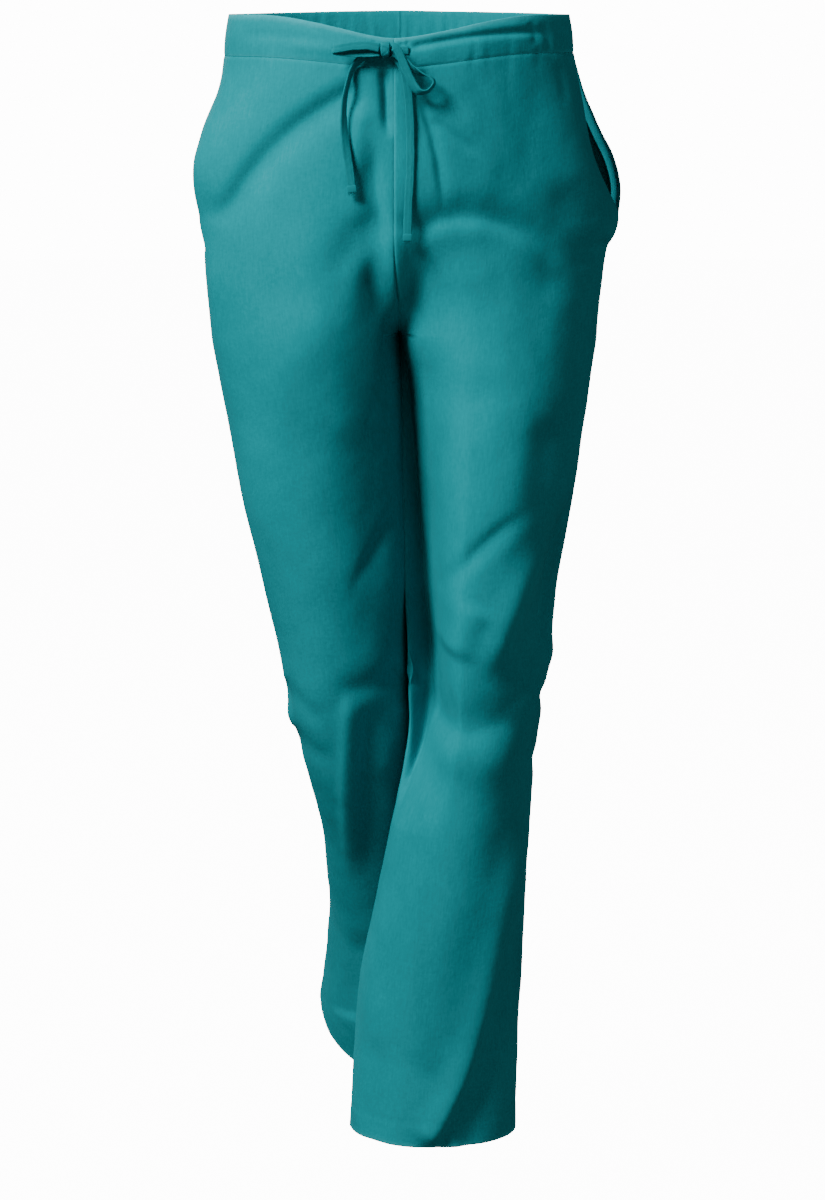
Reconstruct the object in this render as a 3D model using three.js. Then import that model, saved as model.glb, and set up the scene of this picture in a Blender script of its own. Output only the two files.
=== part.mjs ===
// Drawstring scrub trousers, worn: a hollow cloth wall in the pose of a slow step.
// Millimetres, +Z up, +X to the wearer's left, the wearer faces -Y.
// The origin is on the waistline, in the middle of the hollow.
import * as THREE from 'three';

// Cloth and seams
const CLOTH = 1.6;
const CASING_WALL = 3.2;
const BAG_CLOTH = 1.2;
const SEAM_GAP = 0.3;
const HALF_GAP = SEAM_GAP / 2;

// Hollow between the thighs, where it is 1: how far the inseam, and the cloth next to it in front, are drawn back
const INSEAM_BACK = 18;
const HOLLOW_BACK = 40;
const HOLLOW_ASIDE = 20;
const HOLLOW_FROM = 0.04;
const HOLLOW_TO = 0.44;
const HOLLOW_ROUND = 0.7;
const HOLLOW_RISE = 0.09;
const HOLLOW_FADE = 0.35;

// Heights of the main lines
const PANEL_TOP = -12;
const RISE_TURN = -165;
const CROTCH = -262;
const RISE_REACH = 0.18;
const LEG_BLEND_TOP = -140;
const LEG_BLEND_BOTTOM = -330;
const CASING_LIFT_END = -150;
const MOUTH_TOP = -20;
const MOUTH_BOTTOM = -155;

// Waist casing: heights of its edges at centre front, side and centre back
const FRONT_DIP_TOP = 9;
const SIDE_TOP = 30;
const BACK_TOP = 33;
const FRONT_DIP_BOTTOM = -17;
const SIDE_BOTTOM = { right: -7.5, left: -4 };
const BACK_BOTTOM = -4;
const DIP_SPAN = 0.7;
const CASING_PUFF = 1.4;

// Side seams by height: how far the front and back edges stand off the hip, and how wide the mouth gapes
const SIDE_EDGES = {
  right: [
    { z: -12, front: 0, back: 0, gape: 0 },
    { z: -20, front: 0, back: 0, gape: 0 },
    { z: -48, front: 0.5, back: 0, gape: 12 },
    { z: -80, front: 6, back: 2, gape: 25 },
    { z: -105, front: 9, back: 4, gape: 28 },
    { z: -130, front: 7, back: 4, gape: 20 },
    { z: -155, front: 3, back: 3, gape: 0 },
    { z: -185, front: 0, back: 0, gape: 0 },
    { z: -215, front: 0, back: 0, gape: 0 },
  ],
  left: [
    { z: -12, front: 0, back: 0, gape: 0 },
    { z: -20, front: 0, back: 0, gape: 0 },
    { z: -48, front: -1, back: 3, gape: 13 },
    { z: -80, front: -2, back: 11, gape: 28 },
    { z: -105, front: 1, back: 20, gape: 33 },
    { z: -130, front: 9, back: 23, gape: 24 },
    { z: -155, front: 18, back: 18, gape: 0 },
    { z: -172, front: 14, back: 14, gape: 0 },
    { z: -186, front: 6, back: 6, gape: 0 },
    { z: -220, front: 2, back: 2, gape: 0 },
    { z: -250, front: 0, back: 0, gape: 0 },
    { z: -280, front: 0, back: 0, gape: 0 },
  ],
};
const MOUTH_REACH = 0.55;

// Pocket bags, in parts of the front panel's width and heights on it
const BAG_TOP = -24;
const BAG_BOTTOM = -296;
const BAG_REACH = 0.44;
const BAG_LIE = 8.5;
const BAG_EDGE_LIE = 3.2;
const BAG_DEPTH = 22;
const BAG_EDGE_DEPTH = 6;
const BAG_ROWS = 11;
const BAG_HALF_COLUMNS = 6;
const BAG_ROUNDNESS = 0.8;
const BAG_FULLNESS = 0.7;
const BAG_FULL_TO = 1.1;
const BAG_SPREAD = 2.5;
const BAG_LIE_FROM = 0.6;
const BAG_TO_BACK_FROM = 0.55;
const MOUTH_INSET = 2;

// Drawstring tape
const TAPE_WIDTH = 7.6;
const TAPE_THICK = 1.8;
const TAPE_SIDES = 8;
const TAPE_ROUNDNESS = 0.4;
const KNOT = { x: -12, y: -124.1, z: 0, width: 10, height: 14, depth: 13, round: 1.6 };

// Wall grid
const FRONT_COLUMNS = 14;
const BACK_COLUMNS = 11;
const CASING_COLUMNS = 32;
const CASING_ROWS = 4;
const MOUTH_ROWS = [-37, -56, -76, -96, -116, -136];
const TURN_ROWS = 6;
const LEG_ROW_STEP = 27;
const NUDGE = 0.004;
const NUDGE_HEIGHT = 1.5;

// Round of the hips: how fast a column leaves the centre line, and how square the section is
const CENTRE_PACE = 0.55;
const HIP_SQUARENESS = 0.87;

// Seat and hips: half widths to each side, and half depths to the front and back
const HIP_SECTIONS = [
  { z: 45, right: 156, left: 157, front: 112, back: 101 },
  { z: 10, right: 160, left: 160, front: 115, back: 103 },
  { z: -30, right: 166, left: 167, front: 117, back: 107 },
  { z: -70, right: 176, left: 176, front: 118, back: 112 },
  { z: -110, right: 182, left: 182, front: 119, back: 117 },
  { z: -150, right: 184, left: 186, front: 119, back: 121 },
  { z: -190, right: 183, left: 188, front: 118, back: 123 },
  { z: -235, right: 180, left: 187, front: 116, back: 120 },
  { z: -290, right: 172, left: 182, front: 113, back: 114 },
  { z: -345, right: 163, left: 175, front: 110, back: 108 },
];

// Legs: inseam and side seam in X, middle of the section in Y, half depth, lean of the section,
// and how hollow the cloth hangs between the thighs
const LEG_SECTIONS = {
  right: [
    { z: -140, inner: -0.2, outer: -184, y: -15, depth: 119, lean: 0 },
    { z: -262, inner: -0.2, outer: -176, y: -7, depth: 112, lean: 0 },
    { z: -300, inner: 0.3, outer: -170, y: -4, depth: 109, lean: 0 },
    { z: -347, inner: 2, outer: -161, y: -1, depth: 106, lean: 0 },
    { z: -422, inner: 5, outer: -148, y: 2, depth: 101, lean: 0 },
    { z: -498, inner: 8, outer: -130, y: 4, depth: 96, lean: 0 },
    { z: -576, inner: 12, outer: -113, y: 6, depth: 91, lean: 3 },
    { z: -616, inner: 15, outer: -106, y: 12, depth: 87, lean: 9 },
    { z: -658, inner: 20, outer: -96, y: 24, depth: 83, lean: 18 },
    { z: -701, inner: 27, outer: -84, y: 42, depth: 79, lean: 25 },
    { z: -744, inner: 35, outer: -76, y: 64, depth: 77, lean: 27 },
    { z: -834, inner: 50, outer: -69, y: 108, depth: 78, lean: 28 },
    { z: -880, inner: 58, outer: -71, y: 131, depth: 82, lean: 30 },
    { z: -926, inner: 68, outer: -76, y: 152, depth: 90, lean: 33 },
    { z: -949, inner: 75, outer: -79, y: 165, depth: 95, lean: 35 },
  ],
  left: [
    { z: -140, inner: 0.2, outer: 186, y: 16, depth: 119, lean: 0, hollow: 0 },
    { z: -262, inner: 0.2, outer: 185, y: -7, depth: 112, lean: 0, hollow: 0 },
    { z: -300, inner: 0.6, outer: 180, y: -16, depth: 109, lean: 0, hollow: 0.3 },
    { z: -346, inner: 1.5, outer: 173, y: -27, depth: 106, lean: 0, hollow: 0.5 },
    { z: -420, inner: 3.2, outer: 161, y: -44, depth: 100, lean: 0, hollow: 0.8 },
    { z: -494, inner: 5, outer: 148, y: -54, depth: 96, lean: 0, hollow: 1 },
    { z: -569, inner: 8, outer: 140, y: -62, depth: 91, lean: 0, hollow: 1.15 },
    { z: -643, inner: 9, outer: 128, y: -70, depth: 87, lean: 0, hollow: 0.75 },
    { z: -718, inner: -6, outer: 122, y: -78, depth: 86, lean: 0, hollow: 0 },
    { z: -792, inner: -21, outer: 117, y: -86, depth: 86, lean: 0, hollow: 0 },
    { z: -868, inner: -36, outer: 113, y: -93, depth: 85, lean: 0, hollow: 0 },
    { z: -943, inner: -43, outer: 111, y: -100, depth: 84, lean: 0, hollow: 0 },
    { z: -1002, inner: -46, outer: 110, y: -105, depth: 84, lean: 0, hollow: 0 },
  ],
};

// Largest folds, each a soft channel (depth below zero) or ridge on one face, seen from the front:
// it runs from (x1, z1) to (x2, z2), bowed sideways, and fades at both ends
const FOLDS = [
  { face: 'front', x1: -34, z1: -34, x2: -168, z2: -158, bow: 6, depth: -6, width: 17 },
  { face: 'front', x1: -22, z1: -52, x2: -32, z2: -132, bow: 0, depth: 5, width: 17 },
  { face: 'front', x1: -10, z1: -20, x2: -9, z2: -215, bow: 4, depth: -6, width: 9 },
  { face: 'front', x1: -36, z1: -140, x2: -48, z2: -200, bow: 4, depth: -5, width: 16 },
  { face: 'front', x1: 16, z1: -26, x2: 38, z2: -148, bow: -6, depth: -5, width: 11 },
  { face: 'front', x1: 22, z1: -26, x2: 104, z2: -122, bow: 6, depth: -4, width: 13 },
  { face: 'front', x1: 8, z1: -158, x2: 132, z2: -174, bow: 15, depth: -6, width: 15 },
  { face: 'front', x1: 192, z1: -184, x2: 146, z2: -208, bow: 4, depth: -6, width: 12 },
  { face: 'front', x1: -8, z1: -340, x2: -38, z2: -480, bow: 0, depth: 3, width: 12 },
  { face: 'front', x1: 102, z1: -400, x2: 34, z2: -476, bow: -8, depth: -4, width: 14 },
  { face: 'front', x1: 150, z1: -390, x2: 72, z2: -575, bow: 8, depth: -9, width: 18 },
  { face: 'front', x1: 142, z1: -552, x2: 16, z2: -580, bow: -18, depth: -9, width: 16 },
  { face: 'front', x1: 100, z1: -500, x2: 50, z2: -545, bow: 0, depth: 5, width: 20 },
  { face: 'front', x1: -52, z1: -590, x2: 10, z2: -582, bow: 4, depth: -6, width: 12 },
  { face: 'front', x1: -47, z1: -592, x2: -50, z2: -780, bow: 5, depth: -6, width: 12 },
  { face: 'front', x1: 6, z1: -600, x2: -22, z2: -690, bow: 4, depth: 5, width: 12 },
  { face: 'front', x1: -112, z1: -606, x2: -52, z2: -632, bow: -4, depth: -6, width: 11 },
  { face: 'front', x1: -100, z1: -645, x2: -46, z2: -668, bow: -4, depth: -5, width: 12 },
  { face: 'front', x1: 120, z1: -700, x2: 24, z2: -1012, bow: -8, depth: 8, width: 15 },
  { face: 'front', x1: 106, z1: -846, x2: 72, z2: -1012, bow: -4, depth: -6, width: 15 },
  { face: 'front', x1: 13, z1: -720, x2: 16, z2: -925, bow: 0, depth: 3, width: 11 },
  { face: 'back', x1: 12, z1: -190, x2: 128, z2: -262, bow: -14, depth: -7, width: 16 },
  { face: 'back', x1: -10, z1: -186, x2: -112, z2: -276, bow: 12, depth: -8, width: 15 },
  { face: 'back', x1: 20, z1: -232, x2: 92, z2: -330, bow: -8, depth: -5, width: 14 },
  { face: 'back', x1: -24, z1: -240, x2: -64, z2: -346, bow: 6, depth: -5, width: 14 },
  { face: 'back', x1: 34, z1: -30, x2: 58, z2: -132, bow: 4, depth: -4, width: 14 },
  { face: 'back', x1: -52, z1: -26, x2: -84, z2: -118, bow: -5, depth: -5, width: 14 },
  { face: 'back', x1: -14, z1: -34, x2: -26, z2: -110, bow: 2, depth: -3, width: 12 },
  { face: 'back', x1: 102, z1: -28, x2: 142, z2: -120, bow: 5, depth: -4, width: 15 },
  { face: 'back', x1: -100, z1: -606, x2: 4, z2: -628, bow: -10, depth: -9, width: 14 },
  { face: 'back', x1: -88, z1: -650, x2: 10, z2: -680, bow: -8, depth: -8, width: 13 },
  { face: 'back', x1: -92, z1: -560, x2: -12, z2: -584, bow: -8, depth: -5, width: 14 },
  { face: 'back', x1: 130, z1: -560, x2: 24, z2: -590, bow: 10, depth: -7, width: 15 },
  { face: 'back', x1: 122, z1: -614, x2: 34, z2: -640, bow: 8, depth: -5, width: 14 },
  { face: 'back', x1: 80, z1: -700, x2: 92, z2: -960, bow: -6, depth: -5, width: 16 },
  { face: 'back', x1: -10, z1: -740, x2: 22, z2: -930, bow: 8, depth: -6, width: 16 },
];
const FOLD_STEPS = 10;
const FOLD_FADE = 0.22;
const INNER_SEAM_CLEAR = 0.07;
const SIDE_SEAM_CLEAR = 0.08;

// Gathers drawn up by the tape in each quarter of the casing: how many, how high, where they start
const GATHERS = {
  front: { right: { waves: 5, height: 0.9, from: 0.3 }, left: { waves: 8, height: 2.2, from: 0.42 } },
  back: { right: { waves: 9, height: 1.8, from: 0 }, left: { waves: 8, height: 1.9, from: 0 } },
};
const GATHER_AT_EDGE = 0.35;
const GATHER_WANDER = 0.05;
const GATHER_WANDER_RATE = 7;
const GATHER_PHASE = { right: 3, left: 1 };
const GATHER_FADE_IN = 0.12;
const GATHER_FADE_OUT = 0.08;

const SIGN = { right: -1, left: 1 };
const FACING = { front: -1, back: 1 };
const OTHER_SIDE = { right: 'left', left: 'right' };
const OTHER_FACE = { front: 'back', back: 'front' };

const { clamp, lerp, smoothstep, degToRad } = THREE.MathUtils;

// A row of a table at a height, on a smooth curve through the rows
function sectionAt(rows, z) {
  const last = rows.length - 1;
  let below = 1;
  while (below < last && z < rows[below].z) below += 1;
  const span = rows[below].z - rows[below - 1].z;
  const t = clamp((z - rows[below - 1].z) / span, 0, 1);
  const four = [Math.max(below - 2, 0), below - 1, below, Math.min(below + 1, last)].map((i) => rows[i]);
  const row = {};
  for (const name of Object.keys(rows[0])) {
    const [a, b, c, d] = four.map((one) => one[name]);
    const slopeB = (span * (c - a)) / (four[2].z - four[0].z);
    const slopeC = (span * (d - b)) / (four[3].z - four[1].z);
    const h1 = t * t * (3 - 2 * t);
    const h2 = t * (1 - t) * (1 - t);
    const h3 = t * t * (t - 1);
    row[name] = b * (1 - h1) + c * h1 + slopeB * h2 + slopeC * h3;
  }
  return row;
}

// Edges of the waist casing, which dips at centre front; u runs from the centre line to the side
function casingTop(face, u) {
  if (face === 'back') return lerp(BACK_TOP, SIDE_TOP, smoothstep(u, 0, 1));
  return lerp(FRONT_DIP_TOP, SIDE_TOP, smoothstep(u, 0, DIP_SPAN));
}

function casingBottom(side, face, u) {
  if (face === 'back') return lerp(BACK_BOTTOM, SIDE_BOTTOM[side], smoothstep(u, 0, 1));
  return lerp(FRONT_DIP_BOTTOM, SIDE_BOTTOM[side], smoothstep(u, 0, DIP_SPAN));
}

// How wide a pocket mouth gapes at a height
function gapeAt(side, z) {
  return z < MOUTH_TOP && z > MOUTH_BOTTOM ? Math.max(sectionAt(SIDE_EDGES[side], z).gape, 0) : 0;
}

// A point of the seat above the legs
function seatPoint(side, face, u, z) {
  const row = sectionAt(HIP_SECTIONS, z);
  const angle = (Math.PI / 2) * (CENTRE_PACE * u + (1 - CENTRE_PACE) * u * u);
  const x = SIGN[side] * row[side] * Math.sin(angle);
  const y = FACING[face] * row[face] * Math.max(Math.cos(angle), 0) ** HIP_SQUARENESS;
  return new THREE.Vector3(x, y, z);
}

// A point of a leg: the inseam at u = 0, the side seam at u = 1, on a section that leans back
function legPoint(side, face, u, z) {
  const row = sectionAt(LEG_SECTIONS[side], z);
  const angle = Math.PI * u;
  const middle = (row.inner + row.outer) / 2;
  const half = Math.abs(row.outer - row.inner) / 2;
  const reach = FACING[face] * row.depth * Math.sin(angle);
  const lean = degToRad(row.lean);
  const x = middle - SIGN[side] * half * Math.cos(angle);
  const point = new THREE.Vector3(x, row.y + reach * Math.cos(lean), z + reach * Math.sin(lean));
  if (row.hollow > 0 && face === 'front') {
    const rise = smoothstep(u, 0, HOLLOW_RISE);
    const fade = row.hollow * (1 - smoothstep(u, HOLLOW_FROM, HOLLOW_TO)) ** HOLLOW_ROUND;
    point.x += SIGN[side] * HOLLOW_ASIDE * rise * fade;
    point.y += (INSEAM_BACK + HOLLOW_BACK * rise) * fade;
  } else if (row.hollow > 0) {
    point.y += row.hollow * INSEAM_BACK * (1 - smoothstep(u, 0, HOLLOW_FADE));
  }
  return point;
}

// The share of the leg in a point between the seat and the leg: the rise seam turns under in a J
function legShare(u, z) {
  const t = clamp((RISE_TURN - z) / (RISE_TURN - CROTCH), 0, 1);
  const atSeam = 1 - Math.sqrt(1 - t * t);
  const onPanel = smoothstep(-z, -LEG_BLEND_TOP, -LEG_BLEND_BOTTOM);
  return lerp(atSeam, onPanel, smoothstep(u, 0, RISE_REACH));
}

// The cloth before its folds
function plainPoint(side, face, u, z) {
  const lift = casingBottom(side, face, u) - PANEL_TOP;
  const height = z + lift * smoothstep(z, CASING_LIFT_END, PANEL_TOP);
  const point = seatPoint(side, face, u, height);
  if (z < LEG_BLEND_TOP) point.lerp(legPoint(side, face, u, z), legShare(u, z));
  const edge = smoothstep(u, MOUTH_REACH, 1);
  point.x += SIGN[side] * (HALF_GAP + sectionAt(SIDE_EDGES[side], z)[face] * edge);
  point.y += FACING[face] * (HALF_GAP + (gapeAt(side, z) / 2) * edge);
  return point;
}

// A surface carried on past a seam onto the panel that it is sewn to
function acrossSeams(surface, side, face, u, z) {
  if (u > 1) {
    if (gapeAt(side, z) > 0) {
      const edge = surface(side, face, 1, z);
      return edge.multiplyScalar(2).sub(surface(side, face, 2 - u, z));
    }
    return surface(side, OTHER_FACE[face], 2 - u, z);
  }
  if (u >= 0) return surface(side, face, u, z);
  return z > CROTCH ? surface(OTHER_SIDE[side], face, -u, z) : surface(side, OTHER_FACE[face], -u, z);
}

// The outward direction of a surface
function outward(surface, side, face, u, z) {
  const along = acrossSeams(surface, side, face, u + NUDGE, z).sub(acrossSeams(surface, side, face, u - NUDGE, z));
  const up = surface(side, face, u, z + NUDGE_HEIGHT).sub(surface(side, face, u, z - NUDGE_HEIGHT));
  return along.cross(up).multiplyScalar(-SIGN[side] * FACING[face]).normalize();
}

// The sum of the folds of a face at a point seen from the front
function foldHeight(face, x, z) {
  let height = 0;
  for (const fold of FOLDS) {
    if (fold.face !== face) continue;
    const runX = fold.x2 - fold.x1;
    const runZ = fold.z2 - fold.z1;
    const run = Math.hypot(runX, runZ);
    let nearest = Infinity;
    let place = 0;
    for (let i = 0; i <= FOLD_STEPS; i += 1) {
      const t = i / FOLD_STEPS;
      const side = fold.bow * 4 * t * (1 - t);
      const dx = x - (fold.x1 + runX * t - (runZ / run) * side);
      const dz = z - (fold.z1 + runZ * t + (runX / run) * side);
      const away = Math.hypot(dx, dz);
      if (away < nearest) {
        nearest = away;
        place = t;
      }
    }
    const ends = smoothstep(place, 0, FOLD_FADE) * smoothstep(1 - place, 0, FOLD_FADE);
    height += fold.depth * Math.exp(-((nearest / fold.width) ** 2)) * ends;
  }
  return height;
}

// A point of the outer face of the cloth, folds and all, that keeps each seam line clean
function clothPoint(side, face, u, z) {
  const point = plainPoint(side, face, u, z);
  const height = foldHeight(face, point.x, point.z);
  const seam = smoothstep(u, 0, INNER_SEAM_CLEAR) * smoothstep(1 - u, 0, SIDE_SEAM_CLEAR);
  return point.addScaledVector(outward(plainPoint, side, face, u, z), height * seam);
}

// A closed wall from a grid of outer points and the directions in which they face
function wallFrom(points, facing, thickness) {
  const rows = points.length;
  const columns = points[0].length;
  const size = rows * columns;
  const vertices = [];
  for (const layer of [0, thickness]) {
    for (let r = 0; r < rows; r += 1) {
      for (let c = 0; c < columns; c += 1) {
        const point = points[r][c].clone().addScaledVector(facing[r][c], -layer);
        vertices.push(point.x, point.y, point.z);
      }
    }
  }
  const index = [];
  const quad = (a, b, c, d) => index.push(a, b, c, a, c, d);
  const at = (r, c, layer) => layer * size + r * columns + c;
  for (let r = 0; r < rows - 1; r += 1) {
    for (let c = 0; c < columns - 1; c += 1) {
      quad(at(r, c, 0), at(r + 1, c, 0), at(r + 1, c + 1, 0), at(r, c + 1, 0));
      quad(at(r, c, 1), at(r, c + 1, 1), at(r + 1, c + 1, 1), at(r + 1, c, 1));
    }
    quad(at(r, 0, 0), at(r, 0, 1), at(r + 1, 0, 1), at(r + 1, 0, 0));
    quad(at(r, columns - 1, 0), at(r + 1, columns - 1, 0), at(r + 1, columns - 1, 1), at(r, columns - 1, 1));
  }
  for (let c = 0; c < columns - 1; c += 1) {
    quad(at(0, c, 0), at(0, c + 1, 0), at(0, c + 1, 1), at(0, c, 1));
    quad(at(rows - 1, c, 0), at(rows - 1, c, 1), at(rows - 1, c + 1, 1), at(rows - 1, c + 1, 0));
  }
  return closedGeometry(vertices, index);
}

// An indexed geometry with its faces turned outward
function closedGeometry(vertices, index) {
  const corner = (i) => new THREE.Vector3().fromArray(vertices, index[i] * 3);
  let volume = 0;
  for (let i = 0; i < index.length; i += 3) volume += corner(i).dot(corner(i + 1).cross(corner(i + 2)));
  if (volume < 0) index.reverse();
  const geometry = new THREE.BufferGeometry();
  geometry.setAttribute('position', new THREE.Float32BufferAttribute(vertices, 3));
  geometry.setIndex(index);
  return geometry;
}

// The heights of a panel's rows, closer together where the rise seam turns under
function panelHeights(side) {
  const heights = [PANEL_TOP, MOUTH_TOP, ...MOUTH_ROWS, MOUTH_BOTTOM, RISE_TURN];
  for (let i = 1; i <= TURN_ROWS; i += 1) {
    heights.push(RISE_TURN + (CROTCH - RISE_TURN) * Math.sin((Math.PI / 2) * (i / TURN_ROWS)));
  }
  const hem = LEG_SECTIONS[side].at(-1).z;
  const steps = Math.round((CROTCH - hem) / LEG_ROW_STEP);
  for (let i = 1; i <= steps; i += 1) heights.push(lerp(CROTCH, hem, i / steps));
  return heights;
}

// One leg panel, from the casing to the hem
function panel(side, face) {
  const columns = face === 'front' ? FRONT_COLUMNS : BACK_COLUMNS;
  const points = [];
  const facing = [];
  for (const z of panelHeights(side)) {
    const places = Array.from({ length: columns + 1 }, (_, c) => c / columns);
    points.push(places.map((u) => clothPoint(side, face, u, z)));
    facing.push(places.map((u) => outward(clothPoint, side, face, u, z)));
  }
  return wallFrom(points, facing, CLOTH);
}

// The height of the gathers at a place along a quarter of the casing
function gatherHeight(side, face, u) {
  const gather = GATHERS[face][side];
  const along = clamp((u - gather.from) / (1 - gather.from), 0, 1);
  const uneven = along + GATHER_WANDER * Math.sin(GATHER_WANDER_RATE * along + GATHER_PHASE[side]);
  const fade = smoothstep(along, 0, GATHER_FADE_IN) * smoothstep(1 - along, 0, GATHER_FADE_OUT);
  return gather.height * Math.sin(2 * Math.PI * gather.waves * uneven) * fade;
}

// One quarter of the waist casing, the turned-down double top through which the tape runs
function casing(side, face) {
  const places = Array.from({ length: CASING_COLUMNS + 1 }, (_, c) => c / CASING_COLUMNS);
  const points = [];
  const facing = [];
  for (let r = 0; r <= CASING_ROWS; r += 1) {
    const up = r / CASING_ROWS;
    const swell = Math.sin(Math.PI * up);
    const lineOf = (u) => {
      const z = lerp(casingBottom(side, face, u) + SEAM_GAP, casingTop(face, u), up);
      const point = seatPoint(side, face, u, z);
      point.x += SIGN[side] * HALF_GAP;
      point.y += FACING[face] * HALF_GAP;
      const angle = Math.atan2(point.x / HIP_SECTIONS[1][side] ** 2, point.y / HIP_SECTIONS[1][face] ** 2);
      const out = new THREE.Vector3(Math.sin(angle), Math.cos(angle), 0);
      if (u === 0) out.set(0, FACING[face], 0);
      if (u === 1) out.set(SIGN[side], 0, 0);
      const height = CASING_PUFF * swell + gatherHeight(side, face, u) * lerp(GATHER_AT_EDGE, 1, swell);
      return { point: point.addScaledVector(out, height), out };
    };
    const line = places.map(lineOf);
    points.push(line.map((one) => one.point));
    facing.push(line.map((one) => one.out));
  }
  return wallFrom(points, facing, CASING_WALL);
}

// One pocket bag: a sheet from the front edge of the mouth, round the bag's rim, to the back edge
function pocketBag(side) {
  const points = [];
  for (let r = 0; r <= BAG_ROWS; r += 1) {
    const t = r / BAG_ROWS;
    const mouthZ = lerp(MOUTH_TOP - MOUTH_INSET, MOUTH_BOTTOM + MOUTH_INSET, t);
    const turn = Math.PI * t;
    const rimU = 1 - BAG_REACH * Math.sin(turn) ** BAG_ROUNDNESS;
    const rimZ = lerp(BAG_TOP, BAG_BOTTOM, (1 - Math.cos(turn)) / 2);
    const line = [];
    for (let c = -BAG_HALF_COLUMNS; c <= BAG_HALF_COLUMNS; c += 1) {
      const q = Math.abs(c) / BAG_HALF_COLUMNS;
      const u = lerp(rimU, 1, q);
      const z = lerp(rimZ, mouthZ, q);
      const bulge = Math.sin(Math.PI * Math.min(q * BAG_FULL_TO, 1)) ** BAG_FULLNESS;
      const apart = (BAG_EDGE_DEPTH + BAG_DEPTH * Math.sin(turn) * bulge) * Math.min(q * BAG_SPREAD, 1);
      const sheet = lerp(BAG_LIE, BAG_EDGE_LIE, smoothstep(q, BAG_LIE_FROM, 1));
      const behind = c < 0 ? sheet : sheet + apart;
      const point = linedPoint(side, 'front', u, z, c === 0 ? BAG_LIE + BAG_EDGE_DEPTH / 2 : behind);
      if (c > 0 && t > 0) {
        const onBack = linedPoint(side, 'back', u, z, BAG_LIE + BAG_EDGE_DEPTH * (1 - q));
        point.lerp(onBack, smoothstep(q, BAG_TO_BACK_FROM, 1));
      }
      line.push(point);
    }
    points.push(line);
  }
  return wallFrom(points, gridFacing(points, -SIGN[side]), BAG_CLOTH);
}

// A point inside the cloth, a set way behind its outer face
function linedPoint(side, face, u, z, behind) {
  return clothPoint(side, face, u, z).addScaledVector(outward(clothPoint, side, face, u, z), -behind);
}

// The directions that a grid of points faces
function gridFacing(points, turn) {
  const lastRow = points.length - 1;
  const lastColumn = points[0].length - 1;
  return points.map((line, r) => line.map((_, c) => {
    const up = points[Math.max(r - 1, 0)][c].clone().sub(points[Math.min(r + 1, lastRow)][c]);
    const along = line[Math.min(c + 1, lastColumn)].clone().sub(line[Math.max(c - 1, 0)]);
    return along.cross(up).multiplyScalar(turn).normalize();
  }));
}

// A length of flat tape along hand-picked points, its broad side turned by an angle
function tape(route, turn, steps) {
  const section = new THREE.Shape();
  for (let i = 0; i < TAPE_SIDES; i += 1) {
    const angle = (2 * Math.PI * (i + 0.5)) / TAPE_SIDES;
    const across = new THREE.Vector2(
      (TAPE_WIDTH / 2) * Math.sign(Math.cos(angle)) * Math.abs(Math.cos(angle)) ** TAPE_ROUNDNESS,
      (TAPE_THICK / 2) * Math.sin(angle) / Math.cos(Math.PI / TAPE_SIDES),
    ).rotateAround(new THREE.Vector2(0, 0), degToRad(turn));
    if (i === 0) section.moveTo(across.x, across.y);
    else section.lineTo(across.x, across.y);
  }
  section.closePath();
  const path = new THREE.CatmullRomCurve3(route.map(([x, y, z]) => new THREE.Vector3(x, y, z)));
  return new THREE.ExtrudeGeometry(section, { steps, extrudePath: path, curveSegments: 1 });
}

// The knot: a shield-shaped wrap of tape with rounded edges
function knot() {
  const { width, height, depth, round } = KNOT;
  const w = width / 2 - round;
  const h = height / 2 - round;
  const outline = new THREE.Shape();
  outline.moveTo(-w * 0.75, h);
  outline.quadraticCurveTo(0, h * 1.1, w * 0.75, h);
  outline.quadraticCurveTo(w * 1.1, 0, w, -h * 0.6);
  outline.quadraticCurveTo(0, -h * 1.25, -w, -h * 0.6);
  outline.quadraticCurveTo(-w * 1.1, 0, -w * 0.75, h);
  const geometry = new THREE.ExtrudeGeometry(outline, {
    depth: depth - 2 * round,
    bevelThickness: round,
    bevelSize: round,
    bevelSegments: 2,
    curveSegments: 4,
  });
  geometry.translate(0, 0, round - depth / 2);
  geometry.rotateX(Math.PI / 2);
  geometry.translate(KNOT.x, KNOT.y, KNOT.z);
  return geometry;
}

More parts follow.
